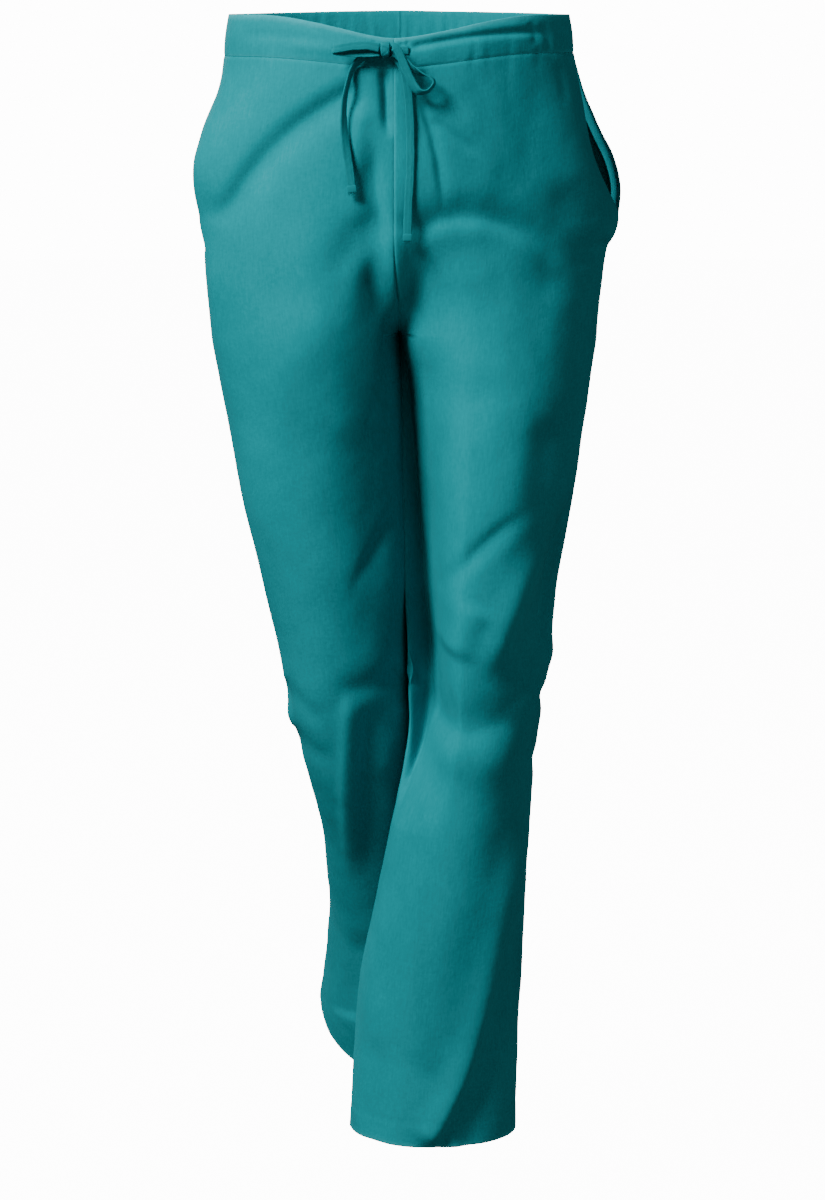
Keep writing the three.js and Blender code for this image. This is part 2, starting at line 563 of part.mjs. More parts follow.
// The tape that shows: two leads out of the casing, a bow of two loops and two free ends.
// Points are picked by hand along the middle of the tape, from the knot outward.
const TAPES = {
  drawstring_lead_right: {
    turn: 0,
    steps: 4,
    route: [[-17.4, -118.3, -1], [-22, -117.9, -1], [-27, -117.2, -1], [-32, -116.4, -1]],
  },
  drawstring_lead_left: {
    turn: 0,
    steps: 4,
    route: [[-6.6, -118.6, -1], [-2, -118.8, -1], [3, -118.8, -1], [9, -118.6, -1]],
  },
  drawstring_tail_right: {
    turn: 90,
    steps: 16,
    route: [
      [-17.4, -120.6, -4], [-25, -120.5, -4.6], [-33, -120, -7.5], [-41, -119, -17], [-46, -118.4, -32],
      [-49, -119.2, -48], [-49.4, -120.6, -66], [-48, -121.8, -84], [-45, -122.2, -104], [-42, -121.6, -128],
    ],
  },
  drawstring_tail_left: {
    turn: 90,
    steps: 18,
    route: [
      [-6.6, -121.2, -4], [-1, -121.4, -9], [4.5, -121.6, -18], [8.5, -121.8, -38],
      [10.5, -122, -70], [10.5, -122.2, -108], [8.8, -122.2, -140], [8, -122, -172],
    ],
  },
  drawstring_loop_right: {
    turn: 90,
    steps: 18,
    route: [
      [-17.4, -128.2, 1.5], [-28, -129, 3.5], [-42, -129.4, 3], [-54, -129, 1], [-59.5, -127.3, 0],
      [-54, -126, -1.5], [-42, -125.8, -3], [-28, -125.8, -3], [-17.3, -125.8, -2.5],
    ],
  },
  drawstring_loop_left: {
    turn: 90,
    steps: 24,
    route: [
      [-5.8, -128, 2.4], [-2.8, -128.3, 1.6], [1, -128.4, -4], [5, -128.4, -14], [11, -128.4, -27], [17, -128, -37],
      [24, -126.8, -38.5], [30, -126, -34.5], [32.5, -125.2, -29], [28.5, -124.7, -24.5],
      [20, -124.8, -21], [10, -124.8, -15], [2, -124.8, -7], [-3, -124.8, -3.4], [-6.4, -124.8, -2.8],
    ],
  },
};

const SCRUB_TEAL = 0x1f8f96;
const TAPE_TEAL = 0x23979e;
const cloth = () => new THREE.MeshStandardMaterial({ color: SCRUB_TEAL, roughness: 0.85, metalness: 0 });
const tapeCloth = () => new THREE.MeshStandardMaterial({ color: TAPE_TEAL, roughness: 0.8, metalness: 0 });

const trousers = new THREE.Group();

function add(name, geometry, material) {
  const mesh = new THREE.Mesh(geometry, material);
  mesh.name = name;
  trousers.add(mesh);
}

for (const face of ['front', 'back']) {
  for (const side of ['right', 'left']) {
    add(`${face}_${side}`, panel(side, face), cloth());
    add(`waistband_${face}_${side}`, casing(side, face), cloth());
  }
}
for (const side of ['right', 'left']) add(`pocket_bag_${side}`, pocketBag(side), cloth());
add('drawstring_knot', knot(), tapeCloth());
for (const [name, { route, turn, steps }] of Object.entries(TAPES)) add(name, tape(route, turn, steps), tapeCloth());

export default trousers;
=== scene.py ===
"""Drawstring scrub trousers, worn: thin creased cloth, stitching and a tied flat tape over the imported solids."""

import logging
import math
from dataclasses import dataclass, field
from enum import Enum
from typing import Any, Sequence

import bmesh
import bpy
import numpy as np
from mathutils import Matrix, Vector


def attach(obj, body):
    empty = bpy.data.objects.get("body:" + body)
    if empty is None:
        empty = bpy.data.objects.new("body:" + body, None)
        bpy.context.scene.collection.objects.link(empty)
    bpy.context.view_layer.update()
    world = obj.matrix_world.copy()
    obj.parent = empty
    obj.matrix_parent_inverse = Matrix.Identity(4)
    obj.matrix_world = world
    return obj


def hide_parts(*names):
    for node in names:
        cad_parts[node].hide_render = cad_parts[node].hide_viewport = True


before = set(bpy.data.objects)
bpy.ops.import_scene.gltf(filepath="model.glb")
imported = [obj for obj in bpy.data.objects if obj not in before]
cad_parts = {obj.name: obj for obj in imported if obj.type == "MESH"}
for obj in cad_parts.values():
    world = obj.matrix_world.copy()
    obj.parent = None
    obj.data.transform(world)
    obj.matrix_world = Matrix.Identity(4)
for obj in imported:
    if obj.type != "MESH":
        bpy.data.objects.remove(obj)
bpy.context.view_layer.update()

logging.basicConfig(level=logging.INFO, format="%(message)s")
LOG = logging.getLogger("trousers")

MM = 0.001
CLOTH_MAP, WEAR = "cloth", "wear"
BACKDROP_GLOW = 14.0  # how brightly the camera sees the floor and the backdrop
Values = float | np.ndarray


class Side(Enum):
    """A side of the wearer; the value is the sign of X."""

    RIGHT = -1
    LEFT = 1

    @property
    def other(self) -> "Side":
        """The opposite side."""
        return Side(-self.value)

    @property
    def word(self) -> str:
        """The side's name in node names."""
        return self.name.lower()


class Face(Enum):
    """The front or the back of the trousers; the value is the sign of Y."""

    FRONT = -1
    BACK = 1

    @property
    def other(self) -> "Face":
        """The opposite face."""
        return Face(-self.value)

    @property
    def word(self) -> str:
        """The face's name in node names."""
        return self.name.lower()


class Seam(Enum):
    """A long seam that a crease can run across."""

    SIDE = "side"
    INSEAM = "inseam"


# ---- Numbers on arrays


def smoothstep(x: Values, low: float, high: float) -> np.ndarray:
    """A smooth step from 0 at low to 1 at high."""
    t = np.clip((np.asarray(x, float) - low) / (high - low), 0, 1)
    return t * t * (3 - 2 * t)


def lerp(a: Values, b: Values, t: Values) -> Values:
    """The value a share t of the way from a to b."""
    return a + (b - a) * t


def bell(distance: Values, width: Values) -> Values:
    """A bell curve: 1 at no distance, 0.37 at the width."""
    return np.exp(-(distance / width) ** 2)


def unit(vectors: np.ndarray) -> np.ndarray:
    """Vectors along the last axis, at length 1."""
    return vectors / np.maximum(np.linalg.norm(vectors, axis=-1, keepdims=True), 1e-9)


def smooth_line(points: Sequence[Sequence[float]], steps: int) -> np.ndarray:
    """Points spread evenly along a smooth curve through given ones.

    Args:
        points: the given points, in 2 or 3 dimensions.
        steps: how many spaces there are between the points returned.

    Returns:
        An array of steps + 1 points.
    """
    p = np.asarray(points, float)
    p = np.vstack([2 * p[0] - p[1], p, 2 * p[-1] - p[-2]])
    fine = []
    for i in range(1, len(p) - 2):
        a, b, c, d = p[i - 1:i + 3]
        for t in np.linspace(0, 1, 16, endpoint=False):
            fine.append(0.5 * (2 * b + (c - a) * t + (2 * a - 5 * b + 4 * c - d) * t * t
                               + (3 * b - a - 3 * c + d) * t ** 3))
    fine = np.array(fine + [p[-2]])
    run = np.concatenate([[0], np.cumsum(np.linalg.norm(np.diff(fine, axis=0), axis=1))])
    at = np.linspace(0, run[-1], steps + 1)
    return np.stack([np.interp(at, run, fine[:, k]) for k in range(fine.shape[1])], axis=1)


class HeightTable:
    """Rows of sizes by height, read on a smooth curve through the rows."""

    def __init__(self, names: str, rows: Sequence[Sequence[float]]) -> None:
        """Args: names of the columns after the height, and the rows from the top down."""
        data = np.array(rows, float)
        self.names = names.split()
        self.heights = data[:, 0]
        self.values = data[:, 1:]

    def at(self, z: np.ndarray) -> dict[str, np.ndarray]:
        """The columns at each height.

        Args:
            z: the heights.

        Returns:
            An array for each column's name.
        """
        last = len(self.heights) - 1
        low = np.clip(np.searchsorted(-self.heights, -np.asarray(z, float)), 1, last)
        high = low - 1
        before, after = np.maximum(low - 2, 0), np.minimum(low + 1, last)
        span = self.heights[low] - self.heights[high]
        t = np.clip((z - self.heights[high]) / span, 0, 1)
        h1, h2, h3 = t * t * (3 - 2 * t), t * (1 - t) ** 2, t * t * (t - 1)
        found = {}
        for k, name in enumerate(self.names):
            v = self.values[:, k]
            slope_b = span * (v[low] - v[before]) / (self.heights[low] - self.heights[before])
            slope_c = span * (v[after] - v[high]) / (self.heights[after] - self.heights[high])
            found[name] = v[high] * (1 - h1) + v[low] * h1 + slope_b * h2 + slope_c * h3
        return found


# ---- The worn form, in millimetres

PANEL_TOP, RISE_TURN, CROTCH = -12.0, -165.0, -262.0
LEG_BLEND_TOP, LEG_BLEND_BOTTOM, RISE_REACH = -140.0, -330.0, 0.18
CASING_LIFT_END, MOUTH_TOP, MOUTH_BOTTOM, MOUTH_REACH = -150.0, -20.0, -155.0, 0.55
FRONT_DIP_TOP, SIDE_TOP, BACK_TOP, DIP_SPAN = 9.0, 30.0, 33.0, 0.7
FRONT_DIP_BOTTOM, BACK_BOTTOM = -17.0, -4.0
SIDE_BOTTOM = {Side.RIGHT: -7.5, Side.LEFT: -4.0}
HALF_GAP = -0.04  # below zero, the edges of two pieces pass a little under one another at their seam
CENTRE_PACE, HIP_SQUARENESS = 0.55, 0.87
CENTRE_SEAM_SHIFT, CENTRE_SHIFT_REACH = 4.0, 0.35
INSEAM_MEET, MEET_FADE, MEET_FROM, MEET_TO, MEET_REACH = 1.3, 30.0, 360.0, 460.0, 0.06

HIPS = HeightTable("right left front back", [
    (45, 156, 157, 112, 101), (10, 160, 160, 115, 103), (-30, 166, 167, 117, 107), (-70, 176, 176, 118, 112),
    (-110, 182, 182, 119, 117), (-150, 184, 186, 119, 121), (-190, 183, 188, 118, 123),
    (-235, 180, 187, 116, 120), (-290, 172, 182, 113, 114), (-345, 163, 175, 110, 108),
])
LEGS = {
    Side.RIGHT: HeightTable("inner outer y depth lean", [
        (-140, -0.2, -184, -15, 119, 0), (-262, -0.2, -176, -7, 112, 0), (-300, 0.3, -170, -4, 109, 0),
        (-347, 2, -161, -1, 106, 0), (-422, 5, -148, 2, 101, 0), (-498, 8, -130, 4, 96, 0),
        (-576, 12, -113, 6, 91, 3), (-616, 15, -106, 12, 87, 9), (-658, 20, -96, 24, 83, 18),
        (-701, 27, -84, 42, 79, 25), (-744, 35, -76, 64, 77, 27), (-834, 50, -69, 108, 78, 28),
        (-880, 58, -71, 131, 82, 30), (-926, 68, -76, 152, 90, 33), (-949, 75, -79, 165, 95, 35),
    ]),
    Side.LEFT: HeightTable("inner outer y depth lean hollow", [
        (-140, 0.2, 186, 16, 119, 0, 0), (-262, 0.2, 185, -7, 112, 0, 0), (-300, 0.6, 180, -16, 109, 0, 0.3),
        (-346, 1.5, 173, -27, 106, 0, 0.5), (-420, 3.2, 161, -44, 100, 0, 0.8), (-494, 5, 148, -54, 96, 0, 1),
        (-569, 8, 140, -62, 91, 0, 1.15), (-643, 9, 128, -70, 87, 0, 0.75), (-718, -6, 122, -78, 86, 0, 0),
        (-792, -21, 117, -86, 86, 0, 0), (-868, -36, 113, -93, 85, 0, 0), (-943, -43, 111, -100, 84, 0, 0),
        (-1002, -46, 110, -105, 84, 0, 0),
    ]),
}
EDGES = {
    Side.RIGHT: HeightTable("front back gape", [
        (-12, 0, 0, 0), (-20, 0, 0, 0), (-48, 0.5, 0, 12), (-80, 6, 2, 25), (-105, 9, 4, 28), (-130, 7, 4, 20),
        (-155, 3, 3, 0), (-185, 0, 0, 0), (-215, 0, 0, 0),
    ]),
    Side.LEFT: HeightTable("front back gape", [
        (-12, 0, 0, 0), (-20, 0, 0, 0), (-48, -1, 3, 13), (-80, -2, 11, 28), (-105, 1, 20, 33), (-130, 9, 23, 24),
        (-155, 18, 18, 0), (-172, 14, 14, 0), (-186, 6, 6, 0), (-220, 2, 2, 0), (-250, 0, 0, 0), (-280, 0, 0, 0),
    ]),
}
INSEAM_BACK, HOLLOW_BACK, HOLLOW_ASIDE, HOLLOW_FADE = 18.0, 46.0, 18.0, 0.35
HOLLOW_RISE, HOLLOW_FROM, HOLLOW_TO, HOLLOW_ROUND = 0.09, 0.11, 0.42, 0.8
NUDGE, NUDGE_HEIGHT = 0.004, 1.5


def casing_top(face: Face, u: np.ndarray) -> np.ndarray:
    """The height of the waist's top edge at a place from the centre line (0) to the side (1)."""
    if face is Face.BACK:
        return lerp(BACK_TOP, SIDE_TOP, smoothstep(u, 0, 1))
    return lerp(FRONT_DIP_TOP, SIDE_TOP, smoothstep(u, 0, DIP_SPAN))


def casing_bottom(side: Side, face: Face, u: np.ndarray) -> np.ndarray:
    """The height of the stitched lower edge of the casing."""
    if face is Face.BACK:
        return lerp(BACK_BOTTOM, SIDE_BOTTOM[side], smoothstep(u, 0, 1))
    return lerp(FRONT_DIP_BOTTOM, SIDE_BOTTOM[side], smoothstep(u, 0, DIP_SPAN))


def centre_shift(u: np.ndarray) -> np.ndarray:
    """How far the front's centre seam lies to the wearer's right, which fades towards the side."""
    return CENTRE_SEAM_SHIFT * (1 - smoothstep(u, 0, CENTRE_SHIFT_REACH))


def gape_at(side: Side, z: np.ndarray) -> np.ndarray:
    """How wide the pocket mouth gapes at a height."""
    inside = (z < MOUTH_TOP) & (z > MOUTH_BOTTOM)
    return np.where(inside, np.maximum(EDGES[side].at(z)["gape"], 0), 0)


def seat_point(side: Side, face: Face, u: np.ndarray, z: np.ndarray) -> np.ndarray:
    """Points of the seat, above the legs.

    Args:
        side: the leg.
        face: front or back.
        u: places across the panel, from the centre line or inseam (0) to the side seam (1).
        z: heights in the tables, in millimetres.

    Returns:
        A point (x, y, z) for each place.
    """
    row = HIPS.at(z)
    angle = math.pi / 2 * (CENTRE_PACE * u + (1 - CENTRE_PACE) * u * u)
    x = side.value * row[side.word] * np.sin(angle)
    y = face.value * row[face.word] * np.maximum(np.cos(angle), 0) ** HIP_SQUARENESS
    return np.stack([x, y, z + 0 * x], axis=-1)


def leg_point(side: Side, face: Face, u: np.ndarray, z: np.ndarray) -> np.ndarray:
    """Points of a leg: the inseam at u = 0, the side seam at u = 1.

    Args:
        side: the leg.
        face: front or back.
        u: places across the panel, from the centre line or inseam (0) to the side seam (1).
        z: heights in the tables, in millimetres.

    Returns:
        A point (x, y, z) for each place.
    """
    row = LEGS[side].at(z)
    middle, half = (row["inner"] + row["outer"]) / 2, np.abs(row["outer"] - row["inner"]) / 2
    reach = face.value * row["depth"] * np.sin(math.pi * u)
    lean = np.radians(row["lean"])
    x = middle - side.value * half * np.cos(math.pi * u)
    point = np.stack([x, row["y"] + reach * np.cos(lean), z + reach * np.sin(lean)], axis=-1)
    if side is Side.LEFT:
        hollow = np.maximum(row["hollow"], 0)
        if face is Face.FRONT:
            rise = smoothstep(u, 0, HOLLOW_RISE)
            hollow = hollow * (1 - smoothstep(u, HOLLOW_FROM, HOLLOW_TO)) ** HOLLOW_ROUND
            point[..., 0] += HOLLOW_ASIDE * rise * hollow
            point[..., 1] += (INSEAM_BACK + HOLLOW_BACK * rise) * hollow
        else:
            point[..., 1] += INSEAM_BACK * hollow * (1 - smoothstep(u, 0, HOLLOW_FADE))
    return point


def leg_share(u: np.ndarray, z: np.ndarray) -> np.ndarray:
    """The share of the leg in a point between the seat and the leg: the rise seam turns under in a J.

    Args:
        u: places across the panel.
        z: heights in the tables.

    Returns:
        A share from 0 to 1 for each place.
    """
    t = np.clip((RISE_TURN - z) / (RISE_TURN - CROTCH), 0, 1)
    at_seam = 1 - np.sqrt(1 - t * t)
    return lerp(at_seam, smoothstep(-z, -LEG_BLEND_TOP, -LEG_BLEND_BOTTOM), smoothstep(u, 0, RISE_REACH))


def plain_point(side: Side, face: Face, u: np.ndarray, z: np.ndarray) -> np.ndarray:
    """Points of the cloth before its creases.

    Args:
        side: the leg.
        face: front or back.
        u: places across the panel, from the centre line or inseam (0) to the side seam (1).
        z: heights in the tables, in millimetres.

    Returns:
        A point (x, y, z) for each place.
    """
    lift = casing_bottom(side, face, u) - PANEL_TOP
    point = seat_point(side, face, u, z + lift * smoothstep(z, CASING_LIFT_END, PANEL_TOP))
    share = np.where(z < LEG_BLEND_TOP, leg_share(u, z), 0)[..., None]
    point = lerp(point, leg_point(side, face, u, z), share)
    edge = smoothstep(u, MOUTH_REACH, 1)
    point[..., 0] += side.value * (HALF_GAP + EDGES[side].at(z)[face.word] * edge)
    point[..., 1] += face.value * (HALF_GAP + gape_at(side, z) / 2 * edge)
    if face is Face.FRONT:
        point[..., 0] -= centre_shift(u) * smoothstep(z, CROTCH, RISE_TURN)
    meet = smoothstep(-z, -CROTCH - MEET_FADE, -CROTCH) * (1 - smoothstep(-z, MEET_FROM, MEET_TO))
    point[..., 0] -= side.value * INSEAM_MEET * meet * (1 - smoothstep(u, 0, MEET_REACH))
    return point


def wrapped_point(side: Side, face: Face, u: np.ndarray, z: np.ndarray) -> np.ndarray:
    """Points of the plain cloth, carried on past a seam onto the panel that it is sewn to.

    Args:
        side: the leg.
        face: front or back.
        u: places across the panel, from the centre line or inseam (0) to the side seam (1).
        z: heights in the tables, in millimetres.

    Returns:
        A point (x, y, z) for each place.
    """
    u, z = np.broadcast_arrays(u, z)
    point = plain_point(side, face, np.clip(u, 0, 1), z)
    over, under = (u > 1)[..., None], (u < 0)[..., None]
    mirrored = 2 * plain_point(side, face, np.ones_like(u), z) - plain_point(side, face, 2 - u, z)
    beyond = np.where((gape_at(side, z) > 0)[..., None], mirrored, plain_point(side, face.other, 2 - u, z))
    across = plain_point(side.other, face, -u, z)
    within = plain_point(side, face.other, -u, z)
    below = np.where((z > CROTCH)[..., None], across, within)
    return np.where(over, beyond, np.where(under, below, point))


def plain_normal(side: Side, face: Face, u: np.ndarray, z: np.ndarray) -> np.ndarray:
    """The outward direction of the plain cloth.

    Args:
        side: the leg.
        face: front or back.
        u: places across the panel, from the centre line or inseam (0) to the side seam (1).
        z: heights in the tables, in millimetres.

    Returns:
        A direction for each place.
    """
    along = wrapped_point(side, face, u + NUDGE, z) - wrapped_point(side, face, u - NUDGE, z)
    up = wrapped_point(side, face, u, z + NUDGE_HEIGHT) - wrapped_point(side, face, u, z - NUDGE_HEIGHT)
    return unit(np.cross(along, up) * -side.value * face.value)


# ---- Creases


@dataclass(frozen=True)
class Crease:
    """A soft trough (depth below zero) or ridge, placed along a line seen from the front.

    Args:
        face: the face that it lies on.
        line: points (x, z) in millimetres.
        depth: how far the cloth stands out of its plain form.
        width: how far the crease spreads to each side.
        skew: from -1 to 1, how much gentler the slope on the left of the line's way is than on the right.
        ends: the shares of the line over which it fades in and out.
        side: the only leg that it lies on, or None for both.
    """

    face: Face
    line: tuple
    depth: float
    width: float
    skew: float = 0.0
    ends: tuple = (0.25, 0.25)
    side: Side | None = None

    def height(self, x: np.ndarray, z: np.ndarray) -> np.ndarray:
        """How far the crease lifts points.

        Args:
            x: their places, in millimetres.
            z: their heights.

        Returns:
            A height off the cloth for each point.
        """
        line = smooth_line(self.line, 24)
        reach = self.width * 3.2
        low, high = line.min(0) - reach, line.max(0) + reach
        near = (x > low[0]) & (x < high[0]) & (z > low[1]) & (z < high[1])
        out = np.zeros_like(x)
        if not near.any():
            return out
        p = np.stack([x[near], z[near]], axis=-1)[:, None]
        a, b = line[None, :-1], line[None, 1:]
        way = b - a
        size = (way ** 2).sum(-1)
        t = np.clip(((p - a) * way).sum(-1) / size, 0, 1)
        away = p - (a + way * t[..., None])
        gap = np.sqrt((away ** 2).sum(-1))
        best = gap.argmin(1)
        rows = np.arange(len(best))
        offset, step = away[rows, best], way[0][best]
        left = np.sign(step[:, 0] * offset[:, 1] - step[:, 1] * offset[:, 0])
        place = (best + t[rows, best]) / (len(line) - 1)
        spread = self.width * (1 + self.skew * left)
        fade = smoothstep(place, 0, self.ends[0]) * smoothstep(1 - place, 0, self.ends[1])
        out[near] = self.depth * bell(gap[rows, best], spread) * fade
        return out


@dataclass(frozen=True)
class SeamCrease:
    """A trough or ridge that runs across a side seam or an inseam from one panel onto the other.

    Args:
        side: the leg.
        seam: the seam that it crosses.
        z: its height at the seam.
        reach: how far it runs onto the front and onto the back.
        rise: how much it climbs on each of them for each millimetre.
        depth: how far the cloth stands out.
        width: how far it spreads up and down.
    """

    side: Side
    seam: Seam
    z: float
    reach: tuple
    rise: tuple
    depth: float
    width: float

    def height(self, face: Face, arc: np.ndarray, z: np.ndarray) -> np.ndarray:
        """How far the crease lifts points.

        Args:
            face: the face that they lie on.
            arc: their distances from the seam along the cloth.
            z: their heights.

        Returns:
            A height off the cloth for each point.
        """
        k = 0 if face is Face.FRONT else 1
        middle = self.z + self.rise[k] * arc
        fade = 1 - smoothstep(arc, self.reach[k] * 0.35, self.reach[k])
        return self.depth * bell(z - middle, self.width) * fade


F, B, R, L = Face.FRONT, Face.BACK, Side.RIGHT, Side.LEFT
CREASES = (
    # Seat, seen from the front
    Crease(F, ((-26, -28), (-48, -41), (-79, -60), (-109, -83), (-139, -117), (-170, -166)), -7, 14, 0.3, (0.12, 0.2)),
    Crease(F, ((-32, -44), (-37, -86), (-39, -122)), 3, 9),
    Crease(F, ((-14, -12), (-12, -36), (-11, -61), (-7, -82)), -6, 4.6, 0, (0.2, 0.3)),
    Crease(F, ((-24, -78), (-23, -112), (-19, -146), (-17, -180), (-16, -206)), -8, 12, -0.4, (0.35, 0.45)),
    Crease(F, ((-26, -140), (-44, -180), (-74, -226)), -4, 16, 0, (0.3, 0.5)),
    Crease(F, ((-27, -186), (-24, -222), (-20, -262)), -4, 9, -0.2, (0.4, 0.4)),
    Crease(F, ((16, -40), (25, -62), (33, -92), (39, -132), (39, -152)), -3.2, 4.6, 0.45, (0.15, 0.4)),
    Crease(F, ((28, -60), (52, -80), (80, -100)), -2, 4.5, 0, (0.2, 0.5)),
    Crease(F, ((12, -22), (34, -40), (64, -68)), -5, 9, 0.1, (0.15, 0.5)),
    Crease(F, ((8, -176), (20, -162), (39, -154), (60, -151), (84, -154), (121, -170), (152, -204)), -5.5, 13, 0.3,
           (0.1, 0.35)),
    Crease(F, ((58, -176), (70, -240), (72, -320)), 4, 36),
    Crease(F, ((196, -182), (181, -187), (160, -202)), -4.5, 8, 0, (0.05, 0.6)),
    Crease(F, ((150, -112), (160, -168), (140, -236)), -3.5, 22),
    Crease(F, ((146, -14), (151, -34), (152, -62)), -1.5, 4.5, 0, (0.02, 0.7)),
    Crease(F, ((160, -12), (163, -30), (163, -54)), -1.2, 3.6, 0, (0.02, 0.7)),
    Crease(F, ((-70, -214), (-62, -300), (-56, -372)), 2.5, 34),
    # Front of the legs
    Crease(F, ((2, -408), (-20, -454), (-50, -512)), -3, 7, 0.2, (0.3, 0.5), R),
    Crease(F, ((-12, -250), (-12, -320), (-8, -400), (-4, -480), (0, -560)), 4, 14, 0, (0.2, 0.25), R),
    Crease(F, ((130, -412), (112, -422), (91, -437), (67, -458), (48, -482), (35, -508)), -3.6, 8.5, 0.2, (0.4, 0.4)),
    Crease(F, ((168, -400), (160, -460), (146, -525), (124, -573), (100, -598), (80, -604)), -15, 22, -0.4,
           (0.3, 0.42)),
    Crease(F, ((122, -596), (92, -612), (52, -618), (14, -604)), -5.5, 19, -0.3, (0.35, 0.3)),
    Crease(F, ((139, -330), (134, -390), (131, -440)), -4, 15),
    Crease(F, ((150, -436), (120, -484), (97, -530), (77, -576)), 7.5, 15, 0, (0.3, 0.25)),
    Crease(F, ((74, -500), (50, -556)), 5, 15),
    Crease(F, ((20, -640), (70, -650), (118, -644)), 3, 18),
    Crease(F, ((124, -696), (97, -799), (77, -881), (57, -944), (26, -1006)), 7.5, 10, -0.5, (0.25, 0.05)),
    Crease(F, ((52, -994), (26, -1010), (4, -1022)), -3, 8, 0, (0.2, 0.3)),
    Crease(F, ((130, -740), (106, -830), (88, -900), (72, -970), (56, -1010)), -5, 14, 0, (0.25, 0.05)),
    Crease(F, ((13, -733), (12, -826), (14, -902), (35, -940)), 2.5, 11, 0, (0.25, 0.2), L),
    Crease(F, ((-66, -598), (-34, -592), (6, -580)), -3.6, 13, 0, (0.4, 0.1), R),
    Crease(F, ((-47, -588), (-50, -690), (-46, -800)), 4.5, 8, 0.2, (0.15, 0.35), R),
    Crease(F, ((-26, -596), (-29, -690), (-28, -800)), -7, 14, 0.3, (0.2, 0.35), R),
    Crease(F, ((4, -604), (-8, -650), (-18, -694)), 3, 12, 0, (0.2, 0.3), R),
    Crease(F, ((-112, -598), (-92, -612), (-58, -632)), -2.2, 11, 0, (0.02, 0.5), R),
    Crease(F, ((-104, -646), (-78, -660), (-48, -668)), -2, 11, 0, (0.02, 0.5), R),
    Crease(F, ((-36, -846), (-44, -900), (-50, -950)), -3.5, 14, 0, (0.3, 0.05), R),
    Crease(F, ((6, -820), (2, -890), (0, -950)), 4, 14, 0, (0.3, 0.05), R),
    Crease(F, ((-20, -900), (-22, -960), (-26, -1008)), -3, 12, 0, (0.3, 0.05), L),
    # Back
    Crease(B, ((12, -190), (68, -212), (128, -262)), -7, 16, 0.2),
    Crease(B, ((-10, -186), (-60, -214), (-112, -276)), -8, 15, -0.2),
    Crease(B, ((20, -232), (52, -270), (92, -330)), -5, 14),
    Crease(B, ((-24, -240), (-40, -290), (-64, -346)), -5, 14),
    Crease(B, ((14, -262), (30, -330), (44, -420)), -4, 12),
    Crease(B, ((-14, -262), (-24, -330), (-34, -400)), -4, 12),
    Crease(B, ((34, -30), (44, -80), (58, -132)), -4, 14, 0.2, (0.05, 0.5)),
    Crease(B, ((-52, -26), (-66, -70), (-84, -118)), -5, 14, -0.2, (0.05, 0.5)),
    Crease(B, ((-14, -34), (-26, -110)), -3, 12),
    Crease(B, ((102, -28), (120, -74), (142, -120)), -4, 15, 0, (0.05, 0.5)),
    Crease(B, ((-112, -28), (-128, -64), (-140, -110)), -3, 11, 0, (0.05, 0.5)),
    Crease(B, ((4, -100), (3, -170), (2, -236)), -3.5, 9),
    Crease(B, ((-100, -606), (-50, -612), (4, -628)), -9, 14, 0.2),
    Crease(B, ((-88, -650), (-40, -660), (10, -680)), -8, 13, 0.2),
    Crease(B, ((-92, -560), (-52, -566), (-12, -584)), -5, 14),
    Crease(B, ((-96, -628), (-46, -636), (6, -652)), 3.5, 10),
    Crease(B, ((-70, -690), (-34, -704), (22, -716)), -5, 12),
    Crease(B, ((130, -560), (80, -570), (24, -590)), -7, 15),
    Crease(B, ((122, -614), (80, -622), (34, -640)), -5, 14),
    Crease(B, ((120, -520), (70, -540), (34, -545)), -3, 14),
    Crease(B, ((80, -700), (90, -820), (92, -990)), -5, 16, 0, (0.25, 0.05)),
    Crease(B, ((20, -720), (30, -850), (20, -996)), 4, 18, 0, (0.25, 0.05), L),
    Crease(B, ((-10, -740), (4, -830), (22, -940)), -6, 16, 0, (0.25, 0.05), R),
    Crease(B, ((-50, -760), (-46, -850), (-44, -946)), 4, 15, 0, (0.25, 0.05), R),
    Crease(B, ((60, -350), (64, -440), (58, -520)), 3, 26),
    Crease(B, ((-74, -350), (-66, -440), (-56, -530)), 3, 26),
    # Waist casing, front
    Crease(F, ((8, 1), (30, 5), (47, 8), (74, 12), (119, 15), (142, 11)), -2.7, 3.6, 0.2, (0.08, 0.2)),
    Crease(F, ((22, 10), (60, 15), (100, 21), (132, 22)), 0.7, 4),
    Crease(F, ((118, 25), (124, 13), (121, 1)), -1.5, 3.6, 0, (0.2, 0.3)),
    Crease(F, ((127, 23), (136, 8), (133, -6)), -1.9, 3.8, 0.2, (0.2, 0.3)),
    Crease(F, ((141, 24), (147, 10), (145, -8)), -1.7, 3.4, 0, (0.2, 0.3)),
    Crease(F, ((151, 18), (155, 4), (154, -12)), -1.5, 3, 0, (0.2, 0.3)),
    Crease(F, ((2, 6), (4, 0), (3, -8)), -1.1, 1.8, 0, (0.05, 0.4)),
    Crease(F, ((7, 7), (9, 1), (8, -6)), -1.1, 1.8, 0, (0.05, 0.4)),
    Crease(F, ((-22, 8), (-24, 0), (-23, -8)), -0.8, 2, 0, (0.05, 0.4)),
    Crease(F, ((-60, 6), (-104, 12), (-150, 12)), -0.9, 5),
    Crease(F, ((-20, -6), (-60, 0), (-110, 4)), 0.7, 5),
)
